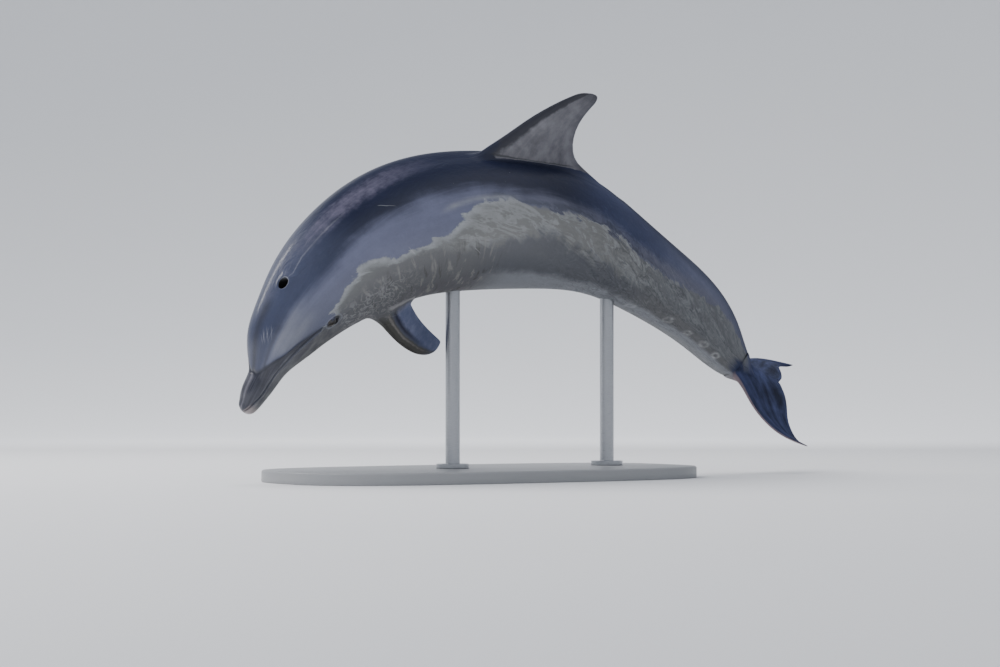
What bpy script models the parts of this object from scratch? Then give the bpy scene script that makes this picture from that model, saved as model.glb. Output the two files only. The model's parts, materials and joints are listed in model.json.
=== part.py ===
"""Life-size bottlenose dolphin in a leap, held above a flat base by two rods.

Axes: +X towards the tail, +Y towards the dolphin's right side, +Z up.
The origin is the middle of the base's underside.  Metres throughout.

The body is one curved loft.  t runs along it from the beak tip (0) to the
fluke notch, the angle a runs round it: 0 left side, 90 back, -90 belly.
"""

import bpy
import numpy as np

# ------------------------------------------------------------ driving sizes
LENGTH = 2.51        # body length that every body and fin fraction refers to
GAP = 0.0003         # clearance between neighbouring solids
AROUND = 32          # facets round the body
TILT = 18.0          # whole animal banked towards its left
HEADING = -32.0      # whole animal turned about the vertical, so its length lies along X
STANCE = (0.00, -0.02, 0.800)   # where station HELD_AT of the body axis is held
HELD_AT = 0.424

# pose: (station, degrees): nose-down angle, turn to the left, roll to the left
ARCH = ((0, 56), (0.08, 63), (0.16, 48), (0.26, 23), (0.38, -4),
        (0.52, -26), (0.66, -41), (0.80, -48), (0.88, -45), (0.93, -28), (1, -22))
BEND = ((0, 12), (0.15, 30), (0.45, 28), (0.75, 26), (0.92, 4), (1, 0))
ROLL = ((0, 38), (0.15, 38), (0.42, 4), (0.75, 4), (0.92, 8), (1, 9))

# melon and trunk: station, back height, belly height, half width (of LENGTH)
TRUNK = (
    (0.0425, 0.013, 0.013, 0.000),
    (0.0515, 0.0228, 0.000, 0.016),
    (0.0655, 0.0311, -0.012, 0.027),
    (0.090, 0.0444, -0.0285, 0.037),
    (0.125, 0.0513, -0.0479, 0.047),
    (0.165, 0.0603, -0.062, 0.058),
    (0.220, 0.0707, -0.0773, 0.069),
    (0.300, 0.0803, -0.0858, 0.079),
    (0.400, 0.0808, -0.0894, 0.083),
    (0.500, 0.0812, -0.0780, 0.078),
    (0.570, 0.0739, -0.0628, 0.0688),
    (0.600, 0.0675, -0.0572, 0.064),
    (0.700, 0.0546, -0.0452, 0.047),
    (0.780, 0.0488, -0.0346, 0.034),
    (0.840, 0.0355, -0.0258, 0.0245),
    (0.880, 0.0216, -0.0203, 0.0185),
    (0.910, 0.0130, -0.0148, 0.0145),
    (0.935, 0.0115, -0.009, 0.0115),
    (0.950, 0.0095, -0.004, 0.0080),
    (0.957, 0.0055, -0.0005, 0.0030))
# beak: the same four columns
BEAK = (
    (0.000, 0.0018, 0.0018, 0.0000),
    (0.004, 0.0105, -0.0060, 0.0095),
    (0.012, 0.0133, -0.0080, 0.0140),
    (0.025, 0.0183, -0.0105, 0.0170),
    (0.043, 0.0198, -0.0144, 0.0190),
    (0.065, 0.0210, -0.0180, 0.0250),
    (0.095, 0.0242, -0.0336, 0.0350),
    (0.135, 0.0220, -0.0425, 0.0430),
    (0.175, 0.0150, -0.0400, 0.0430))
# narrow keel along the top and the bottom of the tail stock
KEEL = ((0, 0), (0.55, 0), (0.68, 0.003), (0.80, 0.006), (0.88, 0.006), (0.93, 0.002), (1, 0))
KEEL_WIDTH = 0.30
# mouth line: station, angle round the body; it ends at GAPE_AT
MOUTH = ((0, 66), (0.004, 50), (0.009, 38), (0.016, 31), (0.026, 24), (0.040, 19), (0.060, 17),
         (0.075, 14), (0.090, 9), (0.108, 3), (0.125, -1))
GAPE_AT = 0.122
EYE_AT = 0.141
EYE_ANGLE = -5.0
EYE_RADIUS = 0.018
EYE_SUNK = 0.012     # eye centre below the body surface
BLOWHOLE_AT = 0.1425
BLOWHOLE_ANGLE = 84.0
BLOWHOLE_RADIUS = 0.0155
BLOWHOLE_DEPTH = 0.035

# fins: span, leading edge, trailing edge, lift of each edge, thickness (of LENGTH)
DORSAL_FIN = (
    (-0.0300, -0.0400, 0.2106, 0, 0, 0.0190),
    (-0.0026, -0.0190, 0.1594, 0, 0, 0.0175),
    (0.0115, -0.0074, 0.1276, 0, 0, 0.0155),
    (0.0315, 0.0134, 0.1110, 0, 0, 0.0125),
    (0.0595, 0.0409, 0.1084, 0, 0, 0.0090),
    (0.0825, 0.0689, 0.1171, 0, 0, 0.0055),
    (0.0925, 0.0835, 0.1222, 0, 0, 0.0036),
    (0.0998, 0.0970, 0.1215, 0, 0, 0.0022),
    (0.1022, 0.1130, 0.1130, 0, 0, 0.0000))
FLIPPER = (
    (-0.0135, -0.004, 0.052, 0, 0, 0.0170),
    (0.0055, 0.003, 0.055, 0, 0, 0.0150),
    (0.0270, 0.009, 0.055, 0, 0, 0.0125),
    (0.0540, 0.016, 0.058, 0, -0.001, 0.0100),
    (0.0810, 0.0255, 0.0645, 0, -0.002, 0.0075),
    (0.1050, 0.0380, 0.0722, -0.001, -0.003, 0.0052),
    (0.1188, 0.0505, 0.0766, -0.0015, -0.004, 0.0036),
    (0.1246, 0.0605, 0.0750, -0.0025, -0.005, 0.0024),
    (0.1262, 0.0690, 0.0690, -0.0045, -0.0045, 0.0000))
FLUKE = (
    (-0.0040, -0.072, 0.000, -0.002, 0.000, 0.0200),
    (0.0080, -0.063, 0.007, -0.003, -0.001, 0.0180),
    (0.0240, -0.0515, 0.0125, -0.005, -0.004, 0.0135),
    (0.0475, -0.040, 0.0145, -0.010, -0.0075, 0.0095),
    (0.0710, -0.026, 0.017, -0.0155, -0.0145, 0.0065),
    (0.0910, -0.005, 0.0265, -0.0205, -0.022, 0.0045),
    (0.1005, 0.0175, 0.0365, -0.0225, -0.0245, 0.0030),
    (0.1065, 0.044, 0.0440, -0.0230, -0.0230, 0.0000))
FLUKE_SET = (-3.3, 7.0, 2.2)     # flukes rolled, pitched and turned against the tail stock, degrees
FLUKE_RAISED = 0.0070
FLIPPER_ROOT_AT = 0.196
FLIPPER_ROOT_ANGLE = -48.0
FLIPPERS = (("flipper_left", 1, 0, 93, 3), ("flipper_right", -1, 30, 45, 0))   # side, sweep, droop, pitch
FIN_EDGE = 0.0016    # half thickness kept at a fin's trailing edge

# where the body is divided
HEAD_END = 0.175
THORAX_END = 0.300
TRUNK_END = 0.580
ABDOMEN_END = 0.740
TAIL_END = 0.9565

# stand
BASE_HALF_LENGTH = 0.70
BASE_HALF_WIDTH = 0.34
BASE_THICK = 0.036
BASE_BEVEL = 0.006
ROD_RADIUS = 0.022
COLLAR_RADIUS = 0.050
COLLAR_HEIGHT = 0.014
ROD_STATIONS = (("stand_rod_front", 0.375), ("stand_rod_rear", 0.615))


# ------------------------------------------------------------ curves and frames
def curve(knots, t):
    """Natural cubic through (place, value) pairs."""
    x, y = (np.array(column, float) for column in zip(*knots))
    h = np.diff(x)
    lhs = np.eye(len(x))
    rhs = np.zeros(len(x))
    for i in range(1, len(x) - 1):
        lhs[i, i - 1:i + 2] = h[i - 1], 2 * (h[i - 1] + h[i]), h[i]
        rhs[i] = 6 * ((y[i + 1] - y[i]) / h[i] - (y[i] - y[i - 1]) / h[i - 1])
    m = np.linalg.solve(lhs, rhs)
    t = np.clip(np.asarray(t, float), x[0], x[-1])
    k = np.clip(np.searchsorted(x, t) - 1, 0, len(h) - 1)
    a = (x[k + 1] - t) / h[k]
    b = (t - x[k]) / h[k]
    return a * y[k] + b * y[k + 1] + ((a**3 - a) * m[k] + (b**3 - b) * m[k + 1]) * h[k]**2 / 6


def turn(axis, degrees):
    """Rotation matrices about x, y or z."""
    angle = np.radians(np.asarray(degrees, float))
    c, s, one, nil = np.cos(angle), np.sin(angle), np.ones_like(angle), np.zeros_like(angle)
    rows = {"x": ((one, nil, nil), (nil, c, -s), (nil, s, c)),
            "y": ((c, nil, s), (nil, one, nil), (-s, nil, c)),
            "z": ((c, -s, nil), (s, c, nil), (nil, nil, one))}[axis]
    return np.moveaxis(np.array(rows), [0, 1], [-2, -1])


def body_frame(t):
    """Columns: forward, left, up of the body at t."""
    level = np.array(((-1, 0, 0), (0, -1, 0), (0, 0, 1.0))).T
    local = turn("y", curve(ARCH, t)) @ turn("z", curve(BEND, t)) @ turn("x", -curve(ROLL, t))
    return turn("z", HEADING) @ turn("x", TILT) @ level @ local


def body_axis(t):
    """The centre line: the forward direction summed up from station HELD_AT."""
    fine = np.linspace(0, 1, 801)
    forward = body_frame(fine)[:, :, 0]
    steps = -(forward[1:] + forward[:-1]) / 2 * LENGTH / 800
    line = np.vstack((np.zeros(3), np.cumsum(steps, axis=0)))
    line += np.array(STANCE) - [np.interp(HELD_AT, fine, line[:, k]) for k in range(3)]
    return np.stack([np.interp(t, fine, line[:, k]) for k in range(3)], -1)


def loft_radius(table, t, a):
    """Distance from the axis to an ellipse whose top, bottom and width follow the table.

    The columns are drawn against the root of the distance from the loft's tip, so the tip is round.
    """
    stations = np.array(table)
    start = stations[0, 0]
    place = np.sqrt(np.clip(t - start, 0, None))
    knots = np.sqrt(stations[:, 0] - start)
    top, low, wide = (curve(tuple(zip(knots, stations[:, k])), place) for k in (1, 2, 3))
    wide = np.maximum(wide, 1e-6)
    high = np.maximum((top - low) / 2, 1e-6)
    mid = (top + low) / 2
    c, s = np.cos(a), np.sin(a)
    qa = (c / wide)**2 + (s / high)**2
    qb = -2 * mid * s / high**2
    qc = (mid / high)**2 - 1
    disc = qb * qb - 4 * qa * qc
    reach = np.where(disc > 0, (np.sqrt(np.maximum(disc, 0)) - qb) / (2 * qa), 0)
    inside = (t > start) & (t <= stations[-1, 0] + 1e-9)
    return np.where(inside, np.maximum(reach, 0), 0) * LENGTH


def body_radius(t, a):
    """Trunk and beak lofts joined by a soft maximum, plus the tail stock's keels."""
    t, a = np.broadcast_arrays(np.asarray(t, float), np.asarray(a, float))
    trunk = loft_radius(TRUNK, t, a)
    beak = loft_radius(BEAK, t, a)
    soft = 0.007 * np.clip((t - 0.002) / 0.03, 0, 1) * np.clip((0.20 - t) / 0.05, 0, 1)
    joined = (trunk + beak + np.sqrt((trunk - beak)**2 + soft**2)) / 2
    radius = np.where(beak > 0, joined, trunk)
    ridge = np.exp(-(np.cos(a) / KEEL_WIDTH)**2) * curve(KEEL, t) * LENGTH
    return radius + ridge


def body_point(t, a, extra=0.0):
    """A point of the skin; extra moves it outwards from the axis."""
    t, a = np.broadcast_arrays(np.asarray(t, float), np.asarray(a, float))
    frame = body_frame(t)
    reach = body_radius(t, a) + extra
    side = (reach * np.cos(a))[..., None] * frame[..., :, 1]
    return body_axis(t) + side + (reach * np.sin(a))[..., None] * frame[..., :, 2]


def fin_point(table, frame, origin, v, p):
    """Fin skin.  v: 0 at the root to 1 at the tip.  p: 0 leading edge, 180 trailing edge.

    frame's columns are the chord, span and lift directions.  Across the chord the
    thickness is that of a common aerofoil, with a thin round trailing edge.
    """
    v, p = np.broadcast_arrays(np.asarray(v, float), np.asarray(p, float))
    rows = np.array(table)
    places = np.linspace(0, 1, len(rows))
    span, lead, trail, up_lead, up_trail, thick = (
        curve(tuple(zip(places, rows[:, k])), v) * LENGTH for k in range(6))
    c = (1 - np.cos(p)) / 2
    root = np.sqrt(c)
    foil = 2.969 * root - 1.26 * c - 3.516 * c**2 + 2.843 * c**3 - 1.036 * c**4
    chord = trail - lead
    rim = np.minimum(FIN_EDGE, chord / 3) * np.abs(np.sin(p)) ** 0.7
    half = np.maximum(thick, 0) / 2 * foil + rim
    x = lead + chord * c
    z = up_lead + (up_trail - up_lead) * c + np.where(np.sin(p) >= 0, half, -half)
    parts = np.stack((x, span, z), -1)
    return origin + parts @ frame.T


def fin_places():
    """Name: (table, frame, origin) for the five fins."""
    places = {}
    forward, left, up = body_frame(0.455).T
    places["dorsal_fin"] = (DORSAL_FIN, np.stack((-forward, up, left), 1),
                            body_point(0.407, np.pi / 2) - up * 0.004)
    roll, pitch, yaw = FLUKE_SET
    forward, left, up = (body_frame(0.940) @ turn("x", roll) @ turn("y", pitch) @ turn("z", yaw)).T
    tail = body_axis(0.955) + (up * FLUKE_RAISED + forward * 0.0026) * LENGTH
    places["fluke_left"] = (FLUKE, np.stack((-forward, left, up), 1), tail)
    places["fluke_right"] = (FLUKE, np.stack((-forward, -left, up), 1), tail)
    for name, side, *angles in FLIPPERS:
        forward, left, up = body_frame(0.205).T
        sweep, droop, pitch = np.radians(angles)
        out = np.cos(droop) * side * left - np.sin(droop) * up
        flat = np.sin(droop) * side * left + np.cos(droop) * up
        span = np.cos(sweep) * out - np.sin(sweep) * forward
        chord = -np.cos(sweep) * forward - np.sin(sweep) * out
        chord, flat = (np.cos(pitch) * chord + np.sin(pitch) * flat,
                       np.cos(pitch) * flat - np.sin(pitch) * chord)
        angle = np.radians(FLIPPER_ROOT_ANGLE)
        root = body_point(FLIPPER_ROOT_AT, angle if side > 0 else np.pi - angle)
        places[name] = (FLIPPER, np.stack((chord, span, flat), 1), root)
    return places
# END OF SHAPE


# ------------------------------------------------------------ meshes
def material(name, colour, roughness, metallic=0.0, coat=0.0):
    made = bpy.data.materials.new(name)
    made.use_nodes = True
    shader = made.node_tree.nodes["Principled BSDF"]
    shader.inputs["Base Color"].default_value = (*colour, 1)
    shader.inputs["Roughness"].default_value = roughness
    shader.inputs["Metallic"].default_value = metallic
    shader.inputs["Coat Weight"].default_value = coat
    return made


def make(name, points, faces, finish):
    """A closed mesh object with its faces turned outwards."""
    points = np.asarray(points, float)
    volume = 0.0
    for face in faces:
        a = points[face[0]]
        for k in range(1, len(face) - 1):
            volume += np.dot(a, np.cross(points[face[k]], points[face[k + 1]]))
    if volume < 0:
        faces = [tuple(reversed(face)) for face in faces]
    mesh = bpy.data.meshes.new(name)
    mesh.from_pydata([tuple(p) for p in points], [], faces)
    mesh.materials.append(finish)
    mesh.update()
    made = bpy.data.objects.new(name, mesh)
    bpy.context.collection.objects.link(made)
    return made


def closed_loft(name, rings, finish):
    """Rings joined by triangles, with a fan over each end."""
    rings = np.asarray(rings, float)
    count, around = rings.shape[:2]
    points = np.vstack((rings.reshape(-1, 3), rings[0].mean(axis=0), rings[-1].mean(axis=0)))
    first, last = count * around, count * around + 1
    faces = []
    for i in range(count - 1):
        for j in range(around):
            a, b = i * around + j, i * around + (j + 1) % around
            c, d = b + around, a + around
            if np.linalg.norm(points[a] - points[c]) < np.linalg.norm(points[b] - points[d]):
                faces += [(a, b, c), (a, c, d)]
            else:
                faces += [(a, b, d), (b, c, d)]
    for j in range(around):
        after = (j + 1) % around
        faces.append((first, after, j))
        faces.append((last, (count - 1) * around + j, (count - 1) * around + after))
    return make(name, points, faces, finish)


def cut(target, cutter):
    step = target.modifiers.new("cut " + cutter.name, "BOOLEAN")
    step.operation = "DIFFERENCE"
    step.solver = "EXACT"
    step.object = cutter


def helper(made):
    made.hide_render = True
    made.display_type = "WIRE"
    return made


# ------------------------------------------------------------ body solids
ENDS = (HEAD_END, THORAX_END, TRUNK_END, ABDOMEN_END, TAIL_END)
STATIONS = np.concatenate((0.0006 + 0.042 * np.linspace(0, 1, 8) ** 1.8,
                           np.linspace(0.049, 0.165, 14), np.linspace(0.185, 0.830, 31),
                           np.linspace(0.846, 0.950, 9)))
CIRCLE = np.linspace(0, 2 * np.pi, AROUND, endpoint=False)


def between(start, end):
    """The two ends and every station well inside them."""
    inner = STATIONS[(STATIONS > start + 0.003) & (STATIONS < end - 0.003)]
    return np.concatenate(([start], inner, [end]))


def segment(name, start, end, finish):
    half = GAP / LENGTH / 2
    return closed_loft(name, body_point(between(start + half, end - half)[:, None], CIRCLE), finish)


def jaw_ring(t, upper, whole=False):
    """A ring in two arcs that meet at the mouth line; the arc across the mouth is a straight line."""
    lip = np.radians(curve(MOUTH, min(t, GAPE_AT)))
    shift = 0.0 if whole else GAP / 2 / max(float(body_radius(t, lip)), 0.002)
    back, belly = 19, 15
    if upper:
        lip += shift
    else:
        lip -= shift
    over = np.linspace(lip, np.pi - lip, back)
    under = np.linspace(np.pi - lip, 2 * np.pi + lip, belly + 2)[1:-1]
    corner = body_point(t, np.array((lip, np.pi - lip)))
    ends = corner[1] + (corner[0] - corner[1]) * np.linspace(0, 1, belly + 2)[1:-1, None]
    roof = corner[0] + (corner[1] - corner[0]) * np.linspace(0, 1, back)[:, None]
    if whole:
        return np.vstack((body_point(t, over), body_point(t, under)))
    if upper:
        return np.vstack((body_point(t, over), ends))
    return np.vstack((roof, body_point(t, under)))


skin = material("skin", (0.16, 0.18, 0.21), 0.25, coat=0.5)
eye_finish = material("eye", (0.015, 0.012, 0.010), 0.08, coat=1.0)
plate_finish = material("stand_plate", (0.55, 0.54, 0.51), 0.45)
rod_finish = material("stand_rods", (0.62, 0.63, 0.64), 0.28, metallic=1.0)

for old in list(bpy.data.objects):
    bpy.data.objects.remove(old, do_unlink=True)

half_gap = GAP / LENGTH / 2
mouth_part = between(STATIONS[0], GAPE_AT)
rings = [jaw_ring(t, True) for t in mouth_part]
rings += [jaw_ring(t, True, whole=True) for t in between(GAPE_AT + 0.0003, HEAD_END - half_gap)]
head = closed_loft("head", rings, skin)
closed_loft("lower_jaw", [jaw_ring(t, False) for t in between(STATIONS[0], GAPE_AT - 2 * half_gap)], skin)
segment("thorax", HEAD_END, THORAX_END, skin)
segment("trunk", THORAX_END, TRUNK_END, skin)
segment("abdomen", TRUNK_END, ABDOMEN_END, skin)
segment("tail_stock", ABDOMEN_END, TAIL_END, skin)

# the body's own facets, one gap larger, shape the seats of fins and rods
envelope = np.unique(np.concatenate([between(0.16, HEAD_END)] + [
    between(a, b) for a, b in zip(ENDS[:-1], ENDS[1:])]))
seat = helper(closed_loft("seat_cutter", body_point(envelope[:, None], CIRCLE, GAP), skin))

# ------------------------------------------------------------ fins
SECTION = np.linspace(0, 2 * np.pi, 16, endpoint=False)
for name, (table, frame, origin) in fin_places().items():
    spans = 1 - (1 - np.linspace(0, 0.985, 12)) ** 1.25
    fin = closed_loft(name, fin_point(table, frame, origin, spans[:, None], SECTION), skin)
    cut(fin, seat)


# ------------------------------------------------------------ eyes and blowhole
def ball(name, centre, radius, finish, turns=14, rows=7):
    angle = np.linspace(0, 2 * np.pi, turns, endpoint=False)
    lat = np.linspace(-np.pi / 2, np.pi / 2, rows + 2)[1:-1, None]
    ring = np.stack(np.broadcast_arrays(np.cos(lat) * np.cos(angle), np.cos(lat) * np.sin(angle), np.sin(lat)), -1)
    return closed_loft(name, centre + radius * ring, finish)


for name, angle in (("eye_left", EYE_ANGLE), ("eye_right", 180 - EYE_ANGLE)):
    centre = body_point(EYE_AT, np.radians(angle), -EYE_SUNK)
    ball(name, centre, EYE_RADIUS, eye_finish)
    cut(head, helper(ball(name + "_socket_cutter", centre, EYE_RADIUS + GAP, skin)))

forward, left, up = body_frame(BLOWHOLE_AT).T
tilt_in = np.radians(BLOWHOLE_ANGLE)
out = np.cos(tilt_in) * left + np.sin(tilt_in) * up
rim = body_point(BLOWHOLE_AT, tilt_in)
across = np.cross(out, forward)
turnings = np.linspace(0, 2 * np.pi, 18, endpoint=False)
pit = []
for height, width in ((-BLOWHOLE_DEPTH, 0.7), (0.0, 1.0), (0.02, 1.1)):
    circle = np.cos(turnings)[:, None] * forward + np.sin(turnings)[:, None] * across
    pit.append(rim + height * out + circle * BLOWHOLE_RADIUS * width)
cut(head, helper(closed_loft("blowhole_cutter", pit, skin)))


# ------------------------------------------------------------ stand
def oval(length, width, height, count=48):
    """A long rounded plate outline."""
    a = np.linspace(0, 2 * np.pi, count, endpoint=False)
    power = 0.62
    x = length * np.sign(np.cos(a)) * np.abs(np.cos(a)) ** power
    y = width * np.sign(np.sin(a)) * np.abs(np.sin(a)) ** power
    return np.stack((x, y, np.full(count, height)), -1)


closed_loft("stand_base", [
    oval(BASE_HALF_LENGTH, BASE_HALF_WIDTH, 0),
    oval(BASE_HALF_LENGTH, BASE_HALF_WIDTH, BASE_THICK - BASE_BEVEL),
    oval(BASE_HALF_LENGTH - BASE_BEVEL, BASE_HALF_WIDTH - BASE_BEVEL, BASE_THICK)], plate_finish)
for name, station in ROD_STATIONS:
    top = body_axis(station)
    rings = []
    for radius, height in ((COLLAR_RADIUS, 0), (COLLAR_RADIUS, COLLAR_HEIGHT - 0.004),
                           (COLLAR_RADIUS - 0.004, COLLAR_HEIGHT), (ROD_RADIUS, COLLAR_HEIGHT),
                           (ROD_RADIUS, top[2] - BASE_THICK)):
        turnings = np.linspace(0, 2 * np.pi, 24, endpoint=False)
        rings.append(np.stack((top[0] + radius * np.cos(turnings), top[1] + radius * np.sin(turnings),
                               np.full(24, BASE_THICK + GAP + height)), -1))
    cut(closed_loft(name, rings, rod_finish), seat)
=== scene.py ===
"""Looks of the life-size bottlenose dolphin on its display stand.

The skin is one piece.  Its body is a surface of two parameters: t along the animal from
beak tip to fluke notch, and a round it (0 left side, 90 back, -90 belly).  The sizes and
the body formulas are those of the part's own source, so the skin lies on the solids.
"""

import json

import bpy
import numpy as np
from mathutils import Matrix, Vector

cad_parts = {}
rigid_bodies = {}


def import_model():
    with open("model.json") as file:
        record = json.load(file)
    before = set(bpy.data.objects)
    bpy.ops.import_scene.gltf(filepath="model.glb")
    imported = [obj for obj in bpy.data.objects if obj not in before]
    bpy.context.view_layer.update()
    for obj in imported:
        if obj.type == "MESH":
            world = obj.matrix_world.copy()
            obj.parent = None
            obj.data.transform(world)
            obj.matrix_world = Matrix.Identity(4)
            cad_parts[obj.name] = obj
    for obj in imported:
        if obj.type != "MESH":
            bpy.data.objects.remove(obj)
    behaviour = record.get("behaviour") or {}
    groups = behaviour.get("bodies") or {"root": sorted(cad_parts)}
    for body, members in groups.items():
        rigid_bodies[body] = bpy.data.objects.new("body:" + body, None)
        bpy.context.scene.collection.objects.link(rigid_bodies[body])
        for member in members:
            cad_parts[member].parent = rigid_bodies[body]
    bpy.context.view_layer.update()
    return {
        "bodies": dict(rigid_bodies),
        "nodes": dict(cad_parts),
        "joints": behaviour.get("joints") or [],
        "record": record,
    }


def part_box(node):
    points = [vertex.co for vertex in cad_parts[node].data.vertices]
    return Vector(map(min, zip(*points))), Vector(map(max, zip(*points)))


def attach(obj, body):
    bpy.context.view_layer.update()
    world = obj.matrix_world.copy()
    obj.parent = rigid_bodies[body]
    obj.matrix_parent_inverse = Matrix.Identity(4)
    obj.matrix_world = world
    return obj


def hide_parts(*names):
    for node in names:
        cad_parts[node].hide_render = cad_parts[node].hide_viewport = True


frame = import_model()

# ------------------------------------------------------------ driving sizes
LENGTH = 2.51        # body length that every body and fin fraction refers to
GAP = 0.0003         # clearance between neighbouring solids
TILT = 18.0          # whole animal banked towards its left
HEADING = -32.0      # whole animal turned about the vertical, so its length lies along X
STANCE = (0.00, -0.02, 0.800)   # where station HELD_AT of the body axis is held
HELD_AT = 0.424

# pose: (station, degrees): nose-down angle, turn to the left, roll to the left
ARCH = ((0, 56), (0.08, 63), (0.16, 48), (0.26, 23), (0.38, -4),
        (0.52, -26), (0.66, -41), (0.80, -48), (0.88, -45), (0.93, -28), (1, -22))
BEND = ((0, 12), (0.15, 30), (0.45, 28), (0.75, 26), (0.92, 4), (1, 0))
ROLL = ((0, 38), (0.15, 38), (0.42, 4), (0.75, 4), (0.92, 8), (1, 9))

# melon and trunk: station, back height, belly height, half width (of LENGTH)
TRUNK = (
    (0.0425, 0.013, 0.013, 0.000),
    (0.0515, 0.0228, 0.000, 0.016),
    (0.0655, 0.0311, -0.012, 0.027),
    (0.090, 0.0444, -0.0285, 0.037),
    (0.125, 0.0513, -0.0479, 0.047),
    (0.165, 0.0603, -0.062, 0.058),
    (0.220, 0.0707, -0.0773, 0.069),
    (0.300, 0.0803, -0.0858, 0.079),
    (0.400, 0.0808, -0.0894, 0.083),
    (0.500, 0.0812, -0.0780, 0.078),
    (0.570, 0.0739, -0.0628, 0.0688),
    (0.600, 0.0675, -0.0572, 0.064),
    (0.700, 0.0546, -0.0452, 0.047),
    (0.780, 0.0488, -0.0346, 0.034),
    (0.840, 0.0355, -0.0258, 0.0245),
    (0.880, 0.0216, -0.0203, 0.0185),
    (0.910, 0.0130, -0.0148, 0.0145),
    (0.935, 0.0115, -0.009, 0.0115),
    (0.950, 0.0095, -0.004, 0.0080),
    (0.957, 0.0055, -0.0005, 0.0030))
# beak: the same four columns
BEAK = (
    (0.000, 0.0018, 0.0018, 0.0000),
    (0.004, 0.0105, -0.0060, 0.0095),
    (0.012, 0.0133, -0.0080, 0.0140),
    (0.025, 0.0183, -0.0105, 0.0170),
    (0.043, 0.0198, -0.0144, 0.0190),
    (0.065, 0.0210, -0.0180, 0.0250),
    (0.095, 0.0242, -0.0336, 0.0350),
    (0.135, 0.0220, -0.0425, 0.0430),
    (0.175, 0.0150, -0.0400, 0.0430))
# narrow keel along the top and the bottom of the tail stock
KEEL = ((0, 0), (0.55, 0), (0.68, 0.003), (0.80, 0.006), (0.88, 0.006), (0.93, 0.002), (1, 0))
KEEL_WIDTH = 0.30
# mouth line: station, angle round the body; it ends at GAPE_AT
MOUTH = ((0, 66), (0.004, 50), (0.009, 38), (0.016, 31), (0.026, 24), (0.040, 19), (0.060, 17),
         (0.075, 14), (0.090, 9), (0.108, 3), (0.125, -1))
GAPE_AT = 0.122
EYE_AT = 0.141
EYE_ANGLE = -5.0
EYE_RADIUS = 0.018
EYE_SUNK = 0.012     # eye centre below the body surface
EYE_PATCH = 0.0145   # stations before and behind the eye that its lids take up
EYE_PATCH_LONG = 0.036
EYE_PATCH_HIGH = 0.031
BLOWHOLE_AT = 0.1425
BLOWHOLE_ANGLE = 84.0
BLOWHOLE_RADIUS = 0.0155

# fins: span, leading edge, trailing edge, lift of each edge, thickness (of LENGTH)
DORSAL_FIN = (
    (-0.0300, -0.0400, 0.2106, 0, 0, 0.0190),
    (-0.0026, -0.0190, 0.1594, 0, 0, 0.0175),
    (0.0115, -0.0074, 0.1276, 0, 0, 0.0155),
    (0.0315, 0.0134, 0.1110, 0, 0, 0.0125),
    (0.0595, 0.0409, 0.1084, 0, 0, 0.0090),
    (0.0825, 0.0689, 0.1171, 0, 0, 0.0055),
    (0.0925, 0.0835, 0.1222, 0, 0, 0.0036),
    (0.0998, 0.0970, 0.1215, 0, 0, 0.0022),
    (0.1022, 0.1130, 0.1130, 0, 0, 0.0000))
FLIPPER = (
    (-0.0135, -0.004, 0.052, 0, 0, 0.0170),
    (0.0055, 0.003, 0.055, 0, 0, 0.0150),
    (0.0270, 0.009, 0.055, 0, 0, 0.0125),
    (0.0540, 0.016, 0.058, 0, -0.001, 0.0100),
    (0.0810, 0.0255, 0.0645, 0, -0.002, 0.0075),
    (0.1050, 0.0380, 0.0722, -0.001, -0.003, 0.0052),
    (0.1188, 0.0505, 0.0766, -0.0015, -0.004, 0.0036),
    (0.1246, 0.0605, 0.0750, -0.0025, -0.005, 0.0024),
    (0.1262, 0.0690, 0.0690, -0.0045, -0.0045, 0.0000))
FLUKE = (
    (-0.0040, -0.072, 0.000, -0.002, 0.000, 0.0200),
    (0.0080, -0.063, 0.007, -0.003, -0.001, 0.0180),
    (0.0240, -0.0515, 0.0125, -0.005, -0.004, 0.0135),
    (0.0475, -0.040, 0.0145, -0.010, -0.0075, 0.0095),
    (0.0710, -0.026, 0.017, -0.0155, -0.0145, 0.0065),
    (0.0910, -0.005, 0.0265, -0.0205, -0.022, 0.0045),
    (0.1005, 0.0175, 0.0365, -0.0225, -0.0245, 0.0030),
    (0.1065, 0.044, 0.0440, -0.0230, -0.0230, 0.0000))
FLUKE_SET = (-3.3, 7.0, 2.2)     # flukes rolled, pitched and turned against the tail stock, degrees
FLUKE_RAISED = 0.0070
FLIPPER_ROOT_AT = 0.196
FLIPPER_ROOT_ANGLE = -48.0
FLIPPERS = (("flipper_left", 1, 0, 93, 3), ("flipper_right", -1, 30, 45, 0))   # side, sweep, droop, pitch
FIN_EDGE = 0.0016    # half thickness kept at a fin's trailing edge

# last station of the flesh
TAIL_END = 0.9565
SOFT_JOIN = 0.007    # metres over which melon and beak blend

# stand
BASE_HALF_LENGTH = 0.70
BASE_HALF_WIDTH = 0.34
BASE_THICK = 0.036
BASE_BEVEL = 0.006
ROD_RADIUS = 0.022
COLLAR_RADIUS = 0.050
COLLAR_HEIGHT = 0.014
ROD_STATIONS = (("stand_rod_front", 0.375), ("stand_rod_rear", 0.615))


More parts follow.
